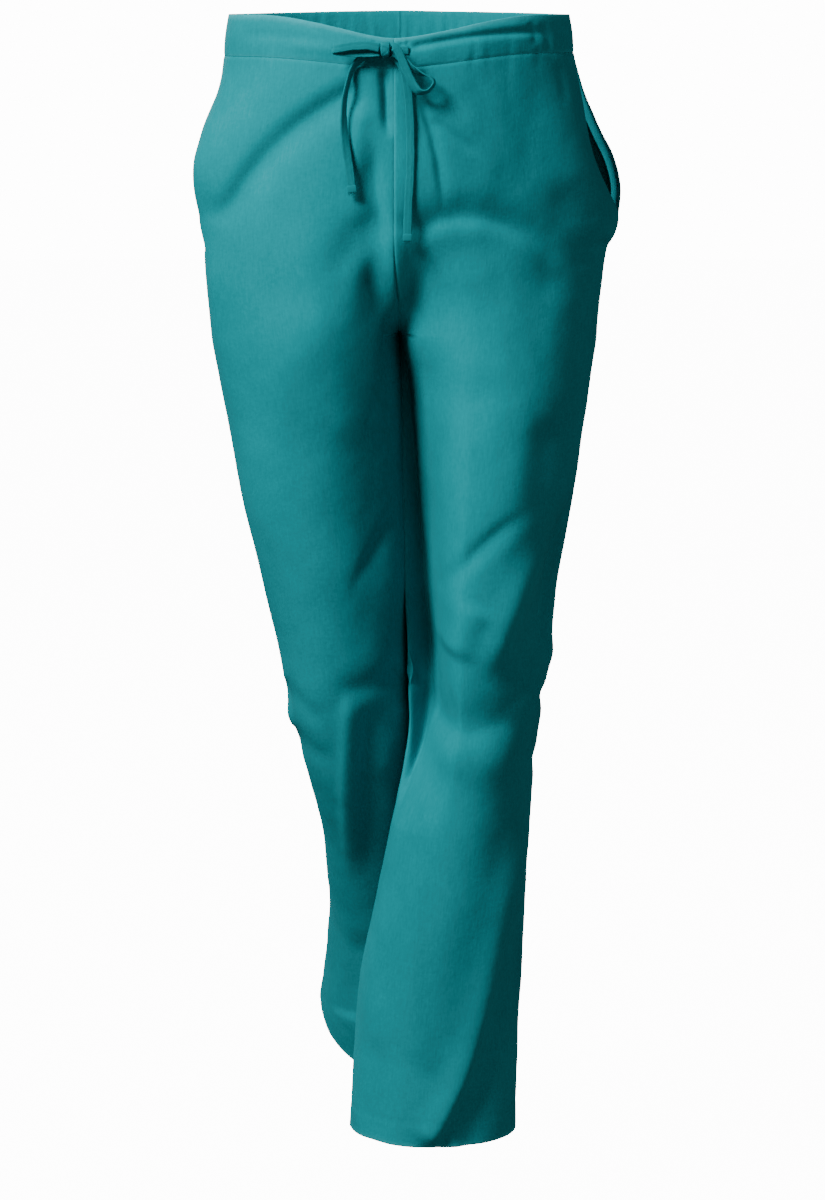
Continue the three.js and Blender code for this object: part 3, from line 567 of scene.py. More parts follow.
SEAM_CREASES = (
    SeamCrease(R, Seam.SIDE, -606, (52, 80), (-0.2, -0.1), -1.7, 11),
    SeamCrease(R, Seam.SIDE, -630, (40, 60), (-0.1, -0.1), 2.5, 9),
    SeamCrease(R, Seam.SIDE, -655, (50, 80), (-0.15, -0.1), -1.8, 12),
    SeamCrease(R, Seam.SIDE, -690, (30, 60), (0.1, -0.1), -3, 9),
    SeamCrease(R, Seam.SIDE, -182, (26, 40), (-0.3, 0.2), -2.6, 7),
    SeamCrease(R, Seam.INSEAM, -622, (34, 70), (0.2, 0.1), -5, 10),
    SeamCrease(R, Seam.INSEAM, -668, (30, 70), (0.2, 0.1), -5, 10),
    SeamCrease(L, Seam.SIDE, -600, (40, 60), (0.2, 0.1), -4, 10),
    SeamCrease(L, Seam.SIDE, -560, (50, 50), (0.3, 0.2), 3, 14),
    SeamCrease(L, Seam.SIDE, -660, (30, 60), (0.1, 0.2), -2.5, 11),
    SeamCrease(L, Seam.INSEAM, -580, (30, 70), (-0.1, 0.2), -4, 12),
)


GATHERS_END = 215.0


@dataclass(frozen=True)
class Gathers:
    """The puckers that the drawn tape leaves along one quarter of the casing's stitching.

    Args:
        start: how far from the centre line they begin.
        pitch: the usual distance between two.
        strength: how deep they are.
        above: how far up they run.
        below: how far down they run.
        seed: sets their uneven places.
    """

    start: float
    pitch: float
    strength: float
    above: float
    below: float
    seed: int

    def height(self, arc: np.ndarray, rise: np.ndarray) -> np.ndarray:
        """How far the puckers lift points.

        Args:
            arc: their distances from the centre line along the cloth.
            rise: their heights above the stitching.

        Returns:
            A height off the cloth for each point.
        """
        draw = np.random.default_rng(self.seed)
        out = np.zeros_like(arc)
        at = self.start
        while at < GATHERS_END:
            depth = self.strength * draw.uniform(0.45, 1.25)
            width = self.pitch * draw.uniform(0.2, 0.34)
            tilt = draw.uniform(-0.16, 0.16)
            above, below = self.above * draw.uniform(0.6, 1.4), self.below * draw.uniform(0.4, 1.6)
            fade = np.where(rise > 0, bell(rise, above), bell(rise, below))
            shape = bell(arc - at - tilt * rise, width)
            ridge = 0.45 * bell(arc - at - self.pitch * 0.5 - tilt * rise, width * 1.4)
            out += (ridge - shape) * depth * fade
            at += self.pitch * draw.uniform(0.65, 1.4)
        return out


GATHERS = {
    (R, F): Gathers(48, 24, 0.35, 12, 16, 11),
    (L, F): Gathers(60, 15, 0.6, 14, 22, 12),
    (R, B): Gathers(6, 12, 1.35, 24, 34, 13),
    (L, B): Gathers(5, 12.5, 1.3, 24, 32, 14),
}


def unevenness(points: np.ndarray, wave: float, height: float, seed: int) -> np.ndarray:
    """A gentle unevenness of the cloth that runs on across every seam.

    Args:
        points: places in millimetres.
        wave: the usual length of a wave.
        height: the usual height of one.
        seed: sets the waves.

    Returns:
        A height for each point.
    """
    draw = np.random.default_rng(seed)
    out = np.zeros(points.shape[:-1])
    count = 22
    for _ in range(count):
        way = unit(draw.normal(size=3) * np.array([1.0, 1.0, 0.55]))
        out += np.sin(points @ way * (2 * math.pi / (wave * draw.uniform(0.6, 1.7))) + draw.uniform(0, 2 * math.pi))
    return out * height / math.sqrt(count / 2)


SEAM_PINCH, SEAM_PINCH_WIDTH = 0.6, 1.1
INSEAM_CALM, SIDE_CALM, PUCKER_CALM = 16.0, 18.0, 6.0  # how far from a seam creases and puckers start
ALLOWANCE_STEP, ALLOWANCE_FROM, ALLOWANCE_TO, ALLOWANCE_FADE = 0.45, 1.2, 9.0, 3.0


def allowance(arc: np.ndarray) -> np.ndarray:
    """How far the seam allowance under the cloth lifts it, at distances from the seam."""
    end = ALLOWANCE_TO + ALLOWANCE_FADE
    return ALLOWANCE_STEP * smoothstep(arc, 0, ALLOWANCE_FROM) * (1 - smoothstep(arc, ALLOWANCE_TO, end))


def relief(side: Side, face: Face, plain: np.ndarray, u: np.ndarray, inner: np.ndarray, outer: np.ndarray,
           grid_z: np.ndarray) -> np.ndarray:
    """The height of all creases, puckers and seam edges on plain cloth.

    Args:
        side: the leg.
        face: front or back.
        plain: the plain points, in millimetres.
        u: their places across the panel.
        inner: their distances along the cloth from the centre line or inseam.
        outer: their distances along the cloth from the side seam.
        grid_z: the heights that they have in the tables.

    Returns:
        A height for each point.
    """
    x, z = plain[..., 0], plain[..., 2]
    out = np.zeros_like(x)
    for crease in CREASES:
        if crease.face is face and crease.side in (None, side):
            out += crease.height(x, z)
    in_legs = smoothstep(-grid_z, -CROTCH - 45, -CROTCH + 8)
    out *= lerp(1, smoothstep(inner, 0, INSEAM_CALM), in_legs) * smoothstep(outer, 0, SIDE_CALM)
    for crease in SEAM_CREASES:
        if crease.side is side:
            at_side = crease.seam is Seam.SIDE
            out += crease.height(face, outer if at_side else inner, z) * (1 if at_side else in_legs)
    rise = z - casing_bottom(side, face, u)
    out += GATHERS[(side, face)].height(inner, rise) * smoothstep(outer, 0, PUCKER_CALM)
    out += unevenness(plain, 75, 0.42, 3) + unevenness(plain, 27, 0.12, 4)
    for arc in (inner, outer):
        out -= SEAM_PINCH * bell(arc, SEAM_PINCH_WIDTH)
    if face is Face.BACK:
        out += allowance(outer)
    if side is Side.LEFT:
        out += allowance(inner)
    return out


def arcs(points: np.ndarray) -> tuple[np.ndarray, np.ndarray]:
    """Distances along each row of a grid.

    Args:
        points: rows by columns of places.

    Returns:
        The distances from each row's first point and from its last.
    """
    run = np.zeros(points.shape[:2])
    run[:, 1:] = np.cumsum(np.linalg.norm(np.diff(points, axis=1), axis=-1), axis=1)
    return run, run[:, -1:] - run


# ---- Meshes


def grid_object(name: str, points: np.ndarray, uv: np.ndarray, flip: bool) -> bpy.types.Object:
    """A sheet of cloth: a bmesh grid whose corners are moved to the points of an array.

    Args:
        name: the piece's name.
        points: rows by columns of places, in millimetres.
        uv: rows by columns of places on the flat cloth, in metres.
        flip: turns the faces round.

    Returns:
        The new object, linked to the scene.
    """
    rows, columns = points.shape[:2]
    bm = bmesh.new()
    bmesh.ops.create_grid(bm, x_segments=columns - 1, y_segments=rows - 1, size=0.5)
    if flip:
        bmesh.ops.reverse_faces(bm, faces=bm.faces)
    piece = finished(name, bm)
    mesh = piece.data
    mesh.vertices.foreach_set("co", (points.reshape(-1, 3) * MM).astype(np.float32).ravel())
    corner = np.zeros(len(mesh.loops), np.int32)
    mesh.loops.foreach_get("vertex_index", corner)
    layer = mesh.uv_layers.new(name=CLOTH_MAP)
    layer.data.foreach_set("uv", uv.reshape(-1, 2)[corner].astype(np.float32).ravel())
    mesh.update()
    return piece


def finished(name: str, bm: bmesh.types.BMesh) -> bpy.types.Object:
    """Turns a bmesh into a piece, smooth shaded and linked to the scene, and frees it.

    Args:
        name: the piece's name.
        bm: its shape, in metres.

    Returns:
        The new object.
    """
    mesh = bpy.data.meshes.new(name)
    bm.to_mesh(mesh)
    bm.free()
    mesh.polygons.foreach_set("use_smooth", np.ones(len(mesh.polygons), bool))
    piece = bpy.data.objects.new(name, mesh)
    bpy.context.scene.collection.objects.link(piece)
    return piece


def box_matrix(x: Sequence[float], y: Sequence[float], z: Sequence[float], middle: Sequence[float]) -> Matrix:
    """The matrix that carries the X, Y and Z of a unit shape onto three axes about a middle."""
    made = Matrix.Identity(4)
    for column, axis in enumerate((x, y, z, middle)):
        made.col[column].xyz = Vector(axis)
    return made


def flat_uv(points: np.ndarray) -> np.ndarray:
    """Places on the flat cloth for a grid of points: columns run level, rows run down the grain.

    Args:
        points: rows by columns of places, in millimetres.

    Returns:
        Rows by columns of places on the flat cloth, in metres.
    """
    across, _ = arcs(points)
    across -= across[:, across.shape[1] // 2][:, None]
    middle = points[:, points.shape[1] // 2]
    down = np.concatenate([[0], np.cumsum(np.linalg.norm(np.diff(middle, axis=0), axis=1))])
    return np.stack([across, np.repeat(-down[:, None], points.shape[1], axis=1)], axis=-1) * MM


def wear_layer(piece: bpy.types.Object, values: np.ndarray) -> None:
    """Stores how worn each corner of the cloth is, from 0 to 1, as the attribute wear."""
    layer = piece.data.attributes.new(WEAR, "FLOAT", "POINT")
    layer.data.foreach_set("value", values.reshape(-1).astype(np.float32))


def thicken(piece: bpy.types.Object, thickness: float) -> None:
    """Gives a sheet its thickness, inward from its outer face, in millimetres."""
    wall = piece.modifiers.new("cloth", "SOLIDIFY")
    wall.thickness = thickness * MM
    wall.offset = -1
    wall.use_quality_normals = True


@dataclass
class SewnSurface:
    """The finished outer face of a piece, which stitches are laid on."""

    places: np.ndarray
    heights: np.ndarray
    points: np.ndarray
    normals: np.ndarray

    def at(self, u: np.ndarray, z: np.ndarray) -> tuple[np.ndarray, np.ndarray]:
        """Points and outward directions of the surface.

        Args:
            u: places across it.
            z: heights in its tables.

        Returns:
            The points and the directions.
        """
        c = np.interp(u, self.places, np.arange(len(self.places)))
        r = np.interp(-np.asarray(z, float), -self.heights, np.arange(len(self.heights)))
        c0, r0 = np.minimum(c.astype(int), len(self.places) - 2), np.minimum(r.astype(int), len(self.heights) - 2)
        fc, fr = (c - c0)[:, None], (r - r0)[:, None]
        found = []
        for a in (self.points, self.normals):
            top = lerp(a[r0, c0], a[r0, c0 + 1], fc)
            low = lerp(a[r0 + 1, c0], a[r0 + 1, c0 + 1], fc)
            found.append(lerp(top, low, fr))
        return found[0], unit(found[1])


def grid_normals(points: np.ndarray, like: np.ndarray) -> np.ndarray:
    """Directions that a grid of points faces.

    Args:
        points: rows by columns of places.
        like: directions that tell the outer side.

    Returns:
        A direction for each point.
    """
    along = np.gradient(points, axis=1)
    down = np.gradient(points, axis=0)
    normal = unit(np.cross(along, down))
    turned = np.sign((normal * like).sum(-1, keepdims=True))
    return normal * np.where(turned == 0, 1, turned)


# ---- Panels

GROOVE_DEPTH, GROOVE_WIDTH = 0.5, 1.5  # the stitched lower edge of the casing


@dataclass
class LegPanel:
    """One leg panel: a fine grid on the worn form, with its creases and its turned-up hem."""

    side: Side
    face: Face
    step: float = 3.1
    width: float = 262.0
    cloth: float = 0.55
    hem_depth: float = 23.0
    hem_radius: float = 0.7
    hem_stitch: float = 1.0
    surface: SewnSurface | None = field(default=None, repr=False)

    @property
    def name(self) -> str:
        """The name of the piece."""
        return f"panel_{self.face.word}_{self.side.word}"

    def places(self) -> np.ndarray:
        """Places across the panel, closer together next to its seams."""
        width = self.width
        close = np.array([0, 0.7, 1.5, 2.6, 4.2])
        inside = np.linspace(close[-1] + self.step, width - close[-1] - self.step, int(width / self.step) - 4)
        return np.concatenate([close, inside, (width - close)[::-1]]) / width

    def heights(self) -> np.ndarray:
        """Heights of the rows in the tables, closer together where the rise seam turns under."""
        top = PANEL_TOP - np.array([0, 0.6, 1.3, 2.3, 3.8, 5.6])
        seat = np.linspace(PANEL_TOP - 8, RISE_TURN, 48)
        turn = RISE_TURN + (CROTCH - RISE_TURN) * np.sin(np.linspace(0, math.pi / 2, 35)[1:])
        hem = LEGS[self.side].heights[-1]
        legs = np.linspace(CROTCH, hem, int((CROTCH - hem) / self.step) + 1)[1:]
        return np.concatenate([top, seat, turn, legs])

    def build(self) -> bpy.types.Object:
        """Builds the panel.

        Returns:
            The panel's object.
        """
        places, heights = self.places(), self.heights()
        u, z = np.meshgrid(places, heights)
        plain = plain_point(self.side, self.face, u, z)
        normal = plain_normal(self.side, self.face, u, z)
        inner, outer = arcs(plain)
        lift = relief(self.side, self.face, plain, u, inner, outer, z)
        lift -= GROOVE_DEPTH * bell(casing_bottom(self.side, self.face, u) - plain[..., 2], GROOVE_WIDTH)
        hem = heights[-1]
        lift -= 0.35 * bell(z - hem - self.hem_depth + self.hem_stitch, 1.6)
        points = plain + normal * lift[..., None]
        facing = grid_normals(points, normal)
        self.surface = SewnSurface(places, heights, points, facing)
        worn = 0.3 * bell(inner, 1.5) + 0.5 * bell(outer, 1.8) + bell(z - hem, 2)
        folded, worn = self.turn_up(points, facing, np.minimum(worn, 1))
        piece = grid_object(self.name, folded, flat_uv(folded), self.side.value * self.face.value > 0)
        wear_layer(piece, worn)
        thicken(piece, self.cloth)
        return piece

    def turn_up(self, points: np.ndarray, facing: np.ndarray, worn: np.ndarray) -> tuple[np.ndarray, np.ndarray]:
        """Adds the rows of the hem, which turn inward round the lower edge and go back up inside.

        Args:
            points: the panel's grid of points.
            facing: the directions that they face.
            worn: how worn they are.

        Returns:
            The points and the wear with the rows of the hem.
        """
        last, out = points[-1], facing[-1]
        down = unit(points[-1] - points[-2])
        rows = []
        for angle in np.linspace(0, math.pi, 6)[1:]:
            turned = down * math.sin(angle) + out * (math.cos(angle) - 1)
            rows.append(last + turned * self.hem_radius)
        climb = np.cumsum(np.linalg.norm(np.diff(points[::-1, 0], axis=0), axis=1))
        for back in np.linspace(0, self.hem_depth, 9)[1:]:
            k = np.searchsorted(climb, back) + 1
            rows.append(points[-1 - k] - facing[-1 - k] * 2 * self.hem_radius)
        rows = np.array(rows)
        return np.concatenate([points, rows]), np.concatenate([worn, np.zeros(rows.shape[:2])])


# ---- Waist casing


@dataclass
class WaistCasing:
    """One quarter of the waist casing: cloth turned down over the tape and stitched along its lower edge."""

    side: Side
    face: Face
    cloth: float = 0.5
    puff: float = 1.4
    gap: float = 0.02
    stitch_share: float = 0.045
    surface: SewnSurface | None = field(default=None, repr=False)

    @property
    def name(self) -> str:
        """The name of the piece."""
        return f"casing_{self.face.word}_{self.side.word}"

    def build(self) -> bpy.types.Object:
        """Builds the casing quarter.

        Returns:
            The casing's object.
        """
        places = np.concatenate([[0, 0.003, 0.008], np.linspace(0.014, 0.986, 118), [0.992, 0.997, 1]])
        ups = np.concatenate([[0, 0.025, 0.06, 0.1], np.linspace(0.15, 1, 17)])
        u, up = np.meshgrid(places, ups)
        bottom = casing_bottom(self.side, self.face, u)
        z = lerp(bottom + self.gap, casing_top(self.face, u), up)
        plain = seat_point(self.side, self.face, u, z)
        plain[..., 0] += self.side.value * HALF_GAP
        plain[..., 1] += self.face.value * HALF_GAP
        if self.face is Face.FRONT:
            plain[..., 0] -= centre_shift(u)
        wide, deep = (HIPS.values[1][HIPS.names.index(word)] for word in (self.side.word, self.face.word))
        angle = np.arctan2(plain[..., 0] / wide ** 2, plain[..., 1] / deep ** 2)
        out = np.stack([np.sin(angle), np.cos(angle), 0 * angle], axis=-1)
        inner, outer = arcs(plain)
        swell = np.sin(math.pi * np.clip(up, 0, 1))
        lift = relief(self.side, self.face, plain, u, inner, outer, z) + self.puff * swell
        rise = z - bottom
        lift -= GROOVE_DEPTH * bell(rise, GROOVE_WIDTH)
        outside = plain + out * lift[..., None]
        gap = lerp(1.1, 2.5, swell) * smoothstep(up + 0.35, 0, 0.5)
        inside = plain + out * (lift * 0.6 - gap)[..., None]
        radius = (lift * 0.4 + gap)[-1][:, None] / 2
        fold = []
        for turn in np.linspace(0, math.pi, 7)[1:-1]:
            middle = (outside[-1] + inside[-1]) / 2
            fold.append(middle + out[-1] * radius * math.cos(turn) + np.array([0, 0, 1]) * radius * math.sin(turn))
        points = np.concatenate([outside, np.array(fold), inside[::-1][::2]])
        self.surface = SewnSurface(places, -ups, outside, grid_normals(outside, out))
        piece = grid_object(self.name, points, flat_uv(points), self.side.value * self.face.value < 0)
        worn = np.zeros(points.shape[:2])
        worn[:len(ups)] = np.maximum(bell(up - 1, 0.08), 0.7 * bell(rise, 2.0))
        worn[len(ups):len(ups) + len(fold)] = 1
        wear_layer(piece, worn)
        thicken(piece, self.cloth)
        return piece


# ---- Pocket bags


@dataclass
class PocketBag:
    """The bag of a side pocket: a sheet from the mouth's front edge, round the rim, to its back edge."""

    side: Side
    top: float = -24.0
    bottom: float = -296.0
    reach: float = 0.44
    lie: float = 8.5
    edge_lie: float = 3.2
    depth: float = 22.0
    edge_depth: float = 6.0
    cloth: float = 0.4
    rows: int = 44
    half: int = 24

    @property
    def name(self) -> str:
        """The name of the piece."""
        return f"pocket_lining_{self.side.word}"

    def behind(self, face: Face, u: np.ndarray, z: np.ndarray, depth: np.ndarray) -> np.ndarray:
        """Points behind the cloth of a face.

        Args:
            face: front or back.
            u: places across the panel.
            z: heights in the tables.
            depth: how far behind the cloth they lie.

        Returns:
            A point for each place.
        """
        plain = plain_point(self.side, face, u, z)
        normal = plain_normal(self.side, face, u, z)
        x, height = plain[..., 0], plain[..., 2]
        lift = sum(c.height(x, height) for c in CREASES if c.face is face and c.side in (None, self.side))
        return plain + normal * (lift * smoothstep(1 - u, 0, 0.08) - depth)[..., None]

    def build(self) -> bpy.types.Object:
        """Builds the bag.

        Returns:
            The bag's object.
        """
        t, c = np.meshgrid(np.linspace(0, 1, self.rows + 1), np.arange(-self.half, self.half + 1), indexing="ij")
        q, turn = np.abs(c) / self.half, math.pi * t
        rim_u = 1 - self.reach * np.sin(turn) ** 0.8
        rim_z = lerp(self.top, self.bottom, (1 - np.cos(turn)) / 2)
        u = lerp(rim_u, 1, q)
        z = lerp(rim_z, lerp(MOUTH_TOP - 2, MOUTH_BOTTOM + 2, t), q)
        bulge = np.sin(math.pi * np.minimum(q * 1.1, 1)) ** 0.7
        apart = (self.edge_depth + self.depth * np.sin(turn) * bulge) * np.minimum(q * 2.5, 1)
        sheet = lerp(self.lie, self.edge_lie, smoothstep(q, 0.6, 1))
        depth = np.where(c < 0, sheet, sheet + apart)
        depth = np.where(c == 0, self.lie + self.edge_depth / 2, depth)
        front = self.behind(Face.FRONT, u, z, depth)
        back = self.behind(Face.BACK, u, z, self.lie + self.edge_depth * (1 - q))
        share = np.where((c > 0) & (t > 0), smoothstep(q, 0.55, 1), 0)[..., None]
        points = lerp(front, back, share)
        piece = grid_object(self.name, points, flat_uv(points), self.side is Side.LEFT)
        wear_layer(piece, np.zeros(points.shape[:2]))
        thicken(piece, self.cloth)
        return piece


# ---- Tape

MERGE = 5e-5


@dataclass(frozen=True)
class Tape:
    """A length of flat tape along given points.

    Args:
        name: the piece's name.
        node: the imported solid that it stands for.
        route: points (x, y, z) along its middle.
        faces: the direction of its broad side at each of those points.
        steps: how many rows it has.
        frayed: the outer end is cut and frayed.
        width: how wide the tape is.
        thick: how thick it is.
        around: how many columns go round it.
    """

    name: str
    node: str
    route: tuple
    faces: tuple
    steps: int
    frayed: bool = False
    width: float = 7.8
    thick: float = 1.5
    around: int = 44

    def course(self) -> tuple[np.ndarray, np.ndarray]:
        """The middle line, and the direction of the broad side at each of its points."""
        faces = np.array(self.faces * (len(self.route) if len(self.faces) == 1 else 1), float)
        both = smooth_line(np.hstack([np.array(self.route, float), faces * MM]), self.steps)
        return both[:, :3], unit(both[:, 3:])

    def line(self) -> np.ndarray:
        """The middle line."""
        return self.course()[0]

    def build(self) -> bpy.types.Object:
        """Builds the tape, a closed flat tube with a groove along its fold.

        Returns:
            The tape's object.
        """
        line, broad = self.course()
        way = unit(np.gradient(line, axis=0))
        broad = unit(broad - way * (broad * way).sum(-1, keepdims=True))
        across = np.cross(way, broad)
        angle = np.linspace(0, 2 * math.pi, self.around + 1)
        flat, thick = np.cos(angle), np.sin(angle)
        wide = self.width / 2 * np.sign(flat) * np.abs(flat) ** 0.55
        tall = self.thick / 2 * np.sign(thick) * np.abs(thick) ** 0.45
        share = wide / self.width
        groove = 0.4 * bell(share - 0.14, 0.045) * np.sign(thick)
        rim = 0.2 * bell(np.abs(share) - 0.4, 0.05) * np.sign(thick)
        cup = 0.5 * (share * 2) ** 2
        run = np.linspace(0, 1, len(line))
        narrow = 1 + 0.03 * np.sin(run * 37) + 0.02 * np.sin(run * 83 + 1)
        points = (line[:, None] + across[:, None] * (wide * narrow[:, None])[..., None]
                  + broad[:, None] * (tall - groove + rim - cup)[..., None])
        piece = grid_object(self.name, points, flat_uv(points), False)
        bm = bmesh.new()
        bm.from_mesh(piece.data)
        bmesh.ops.remove_doubles(bm, verts=bm.verts, dist=MERGE)
        bmesh.ops.holes_fill(bm, edges=[e for e in bm.edges if e.is_boundary], sides=0)
        bmesh.ops.recalc_face_normals(bm, faces=bm.faces)
        bm.to_mesh(piece.data)
        bm.free()
        return piece


FRONT_WAY = (0, -1, 0)
TAPES = (
    Tape("tape_lead_right", "drawstring_lead_right",
         ((-17.4, -118.3, -1), (-22, -117.9, -1), (-27, -117.2, -1), (-32, -116.4, -1)), (FRONT_WAY,), 16),
    Tape("tape_lead_left", "drawstring_lead_left",
         ((-6.6, -118.6, -1), (-2, -118.8, -1), (3, -118.8, -1), (9, -118.6, -1)), (FRONT_WAY,), 16),
    Tape("tape_tail_right", "drawstring_tail_right",
         ((-17.4, -120.6, -4), (-25, -120.5, -4.6), (-33, -120, -7.5), (-41, -119, -17), (-46, -118.4, -32),
          (-49, -119.2, -48), (-49.4, -120.6, -66), (-48, -121.8, -84), (-45, -122.2, -104), (-42, -121.6, -128)),
         ((0.1, -1, 0.3), (0.3, -0.9, 0.5), (0.7, -0.8, 0.3), (0.9, -0.6, 0.1), (0.9, -0.5, 0), (0.85, -0.6, 0),
          (0.7, -0.8, 0), (0.4, -1, 0), (0, -1, 0), (-0.1, -1, 0)), 110, True),
    Tape("tape_tail_left", "drawstring_tail_left",
         ((-6.6, -121.2, -4), (-1, -121.4, -9), (4.5, -121.6, -18), (8.5, -121.8, -38),
          (10.5, -122, -70), (10.5, -122.2, -108), (8.8, -122.2, -140), (8, -122, -172)),
         ((0, -1, 0.2), (0.1, -1, 0), (0.15, -1, 0), (0.1, -1, 0), (0, -1, 0), (-0.05, -1, 0), (0, -1, 0),
          (0.05, -1, 0)), 140, True),
    Tape("tape_loop_right", "drawstring_loop_right",
         ((-17.4, -128.2, 1.5), (-28, -129, 3.5), (-42, -129.4, 3), (-54, -129, 1), (-59.5, -127.3, 0),
          (-54, -126, -1.5), (-42, -125.8, -3), (-28, -125.8, -3), (-17.3, -125.8, -2.5)),
         ((0, -1, 0.25), (0, -1, 0.3), (0, -1, 0.2), (-0.3, -1, 0.1), (-1, 0, 0), (-0.3, 1, 0), (0, 1, -0.1),
          (0, 1, -0.2), (0, 1, -0.2)), 90),
    Tape("tape_loop_left", "drawstring_loop_left",
         ((-5.8, -128, 2.4), (-2.8, -128.3, 1.6), (1, -128.4, -4), (5, -128.4, -14), (11, -128.4, -27),
          (17, -128, -37), (24, -126.8, -38.5), (30, -126, -34.5), (32.5, -125.2, -29), (28.5, -124.7, -24.5),
          (20, -124.8, -21), (10, -124.8, -15), (2, -124.8, -7), (-3, -124.8, -3.4), (-6.4, -124.8, -2.8)),
         ((0, -1, 0.2), (0, -1, 0.2), (0.1, -1, 0), (0, -1, 0), (0, -1, -0.1), (-0.2, -0.9, -0.5), (0.1, -0.5, -1),
          (0.8, -0.4, -0.8), (1, -0.2, 0.2), (0.5, -0.2, 1), (0.1, 0.4, 1), (-0.2, 1, 0.8), (0, 1, 0.2), (0, 1, 0),
          (0, 1, 0)), 130),
)


@dataclass
class Bow:
    """The tied tape: leads, knot, loops and two free ends."""

    threads: int = 26
    knot_middle: tuple = (-12, -124.1, 0)
    knot_half: tuple = (4.9, 6.2, 7.0)
    pieces: dict = field(default_factory=dict)

    def build(self) -> dict:
        """Builds every length of tape, its frayed ends and the knot.

        Returns:
            The pieces by name.
        """
        for tape in TAPES:
            self.pieces[tape.name] = tape.build()
            if tape.frayed:
                name = tape.name.replace("tape_tail", "tape_fray")
                self.pieces[name] = self.fray(name, tape)
        self.pieces["bow_knot"] = self.knot()
        return self.pieces

    def fray(self, name: str, tape: Tape) -> bpy.types.Object:
        """Builds the stitched fold and the loose threads at a free end.

        Args:
            name: the piece's name.
            tape: the tape that it ends.

        Returns:
            The piece.
        """
        line = tape.line()
        way, end = unit(line[-1] - line[-6]), line[-1]
        broad = unit(np.array(tape.faces[-1], float))
        across = np.cross(way, broad)
        draw = np.random.default_rng(21 if "left" in tape.name else 22)
        bm = bmesh.new()
        fold = box_matrix(across * (tape.width + 0.5), broad * (tape.thick + 0.7), way * 6.5, end - way * 2.6)
        bmesh.ops.create_cube(bm, size=1, matrix=fold)
        bmesh.ops.bevel(bm, geom=bm.edges[:], offset=0.55, segments=3, profile=0.5, affect="EDGES", material=-1)
        for _ in range(self.threads):
            root = end + across * draw.uniform(-3.4, 3.4) + broad * draw.uniform(-0.5, 0.5)
            lean = Vector(way + across * draw.uniform(-0.5, 0.5) + broad * draw.uniform(-0.35, 0.35))
            length = draw.uniform(1.6, 4.6)
            turn = lean.to_track_quat("Z", "Y").to_matrix().to_4x4()
            turn.translation = Vector(root) + lean.normalized() * length / 2
            bmesh.ops.create_cone(bm, cap_ends=True, segments=5, radius1=0.17, radius2=0.08, depth=length, matrix=turn)
        bmesh.ops.scale(bm, vec=(MM, MM, MM), verts=bm.verts)
        return finished(name, bm)

    def knot(self) -> bpy.types.Object:
        """Builds the knot: a shield-shaped wrap of tape with a lip along each edge and a pinch across it.

        Returns:
            The piece.
        """
        half = self.knot_half
        bm = bmesh.new()
        bmesh.ops.create_uvsphere(bm, u_segments=64, v_segments=44, radius=1)
        for v in bm.verts:
            x, y, z = (math.copysign(abs(c) ** power, c) for c, power in zip(v.co, (0.62, 0.7, 0.7)))
            taper = 1 - 0.22 * max(-z, 0) + 0.05 * max(z, 0)
            lip = 0.1 * math.exp(-((abs(x) - 0.72) / 0.14) ** 2)
            pinch = 1 - 0.08 * math.exp(-((z - 0.15 + 0.35 * x) / 0.16) ** 2)
            wrap = 1 - 0.05 * math.exp(-((z + 0.45 - 0.5 * x) / 0.12) ** 2)
            v.co = (x * half[0] * taper, y * half[1] * (1 + lip) * pinch * wrap, z * half[2] * (1 + 0.4 * lip))
        bmesh.ops.scale(bm, vec=(MM, MM, MM), verts=bm.verts)
        bmesh.ops.translate(bm, vec=Vector(self.knot_middle) * MM, verts=bm.verts)
        bmesh.ops.recalc_face_normals(bm, faces=bm.faces)
        piece = finished("bow_knot", bm)
        layer = piece.data.uv_layers.new(name=CLOTH_MAP)
        for loop in piece.data.loops:
            co = piece.data.vertices[loop.vertex_index].co
            layer.data[loop.index].uv = (co.x, co.z)
        return piece


# ---- Stitching


@dataclass
class Stitching:
    """Topstitching, one small bead of thread to a stitch."""

    name: str
    length: float = 2.5
    gap: float = 0.6
    radius: float = 0.2
    runs: list = field(default_factory=list)

    def add(self, points: np.ndarray, normals: np.ndarray) -> None:
        """Adds a line of stitches along points on the cloth."""
        self.runs.append((points, normals))

    def build(self) -> bpy.types.Object:
        """Builds every stitch of every run.

        Returns:
            The stitching's object.
        """
        bm = bmesh.new()
        pitch = self.length + self.gap
        for points, normals in self.runs:
            run = np.concatenate([[0], np.cumsum(np.linalg.norm(np.diff(points, axis=0), axis=1))])
            for k in range(int(run[-1] / pitch)):
                start, stop = (self.along(points, run, at) for at in (k * pitch, k * pitch + self.length))
                out = self.along(normals, run, (k + 0.5) * pitch).normalized()
                way = stop - start
                side = way.cross(out).normalized()
                bead = box_matrix(side * self.radius, out * self.radius, way * 0.56,
                                  (start + stop) / 2 + out * self.radius * 0.45)
                bmesh.ops.create_uvsphere(bm, u_segments=5, v_segments=4, radius=1, matrix=bead)
        bmesh.ops.scale(bm, vec=(MM, MM, MM), verts=bm.verts)
        return finished(self.name, bm)

    @staticmethod
    def along(rows: np.ndarray, run: np.ndarray, at: float) -> Vector:
        """The row of an array at a distance along its run."""
        return Vector([float(np.interp(at, run, rows[:, i])) for i in range(3)])


# ---- Finishes


@dataclass(frozen=True)
class Poplin:
    """A dyed plain weave.

    Args:
        name: the material's name.
        deep: the darker dye of the uneven colouring.
        bright: the lighter dye of the uneven colouring.
        worn: the paler dye along rubbed edges.
        threads: threads to the metre, across.
        weave: strength of the weave's relief.
        rough: roughness.
    """

    name: str
    deep: tuple
    bright: tuple
    worn: tuple
    threads: float = 2600.0
    weave: float = 0.22
    rough: float = 0.82


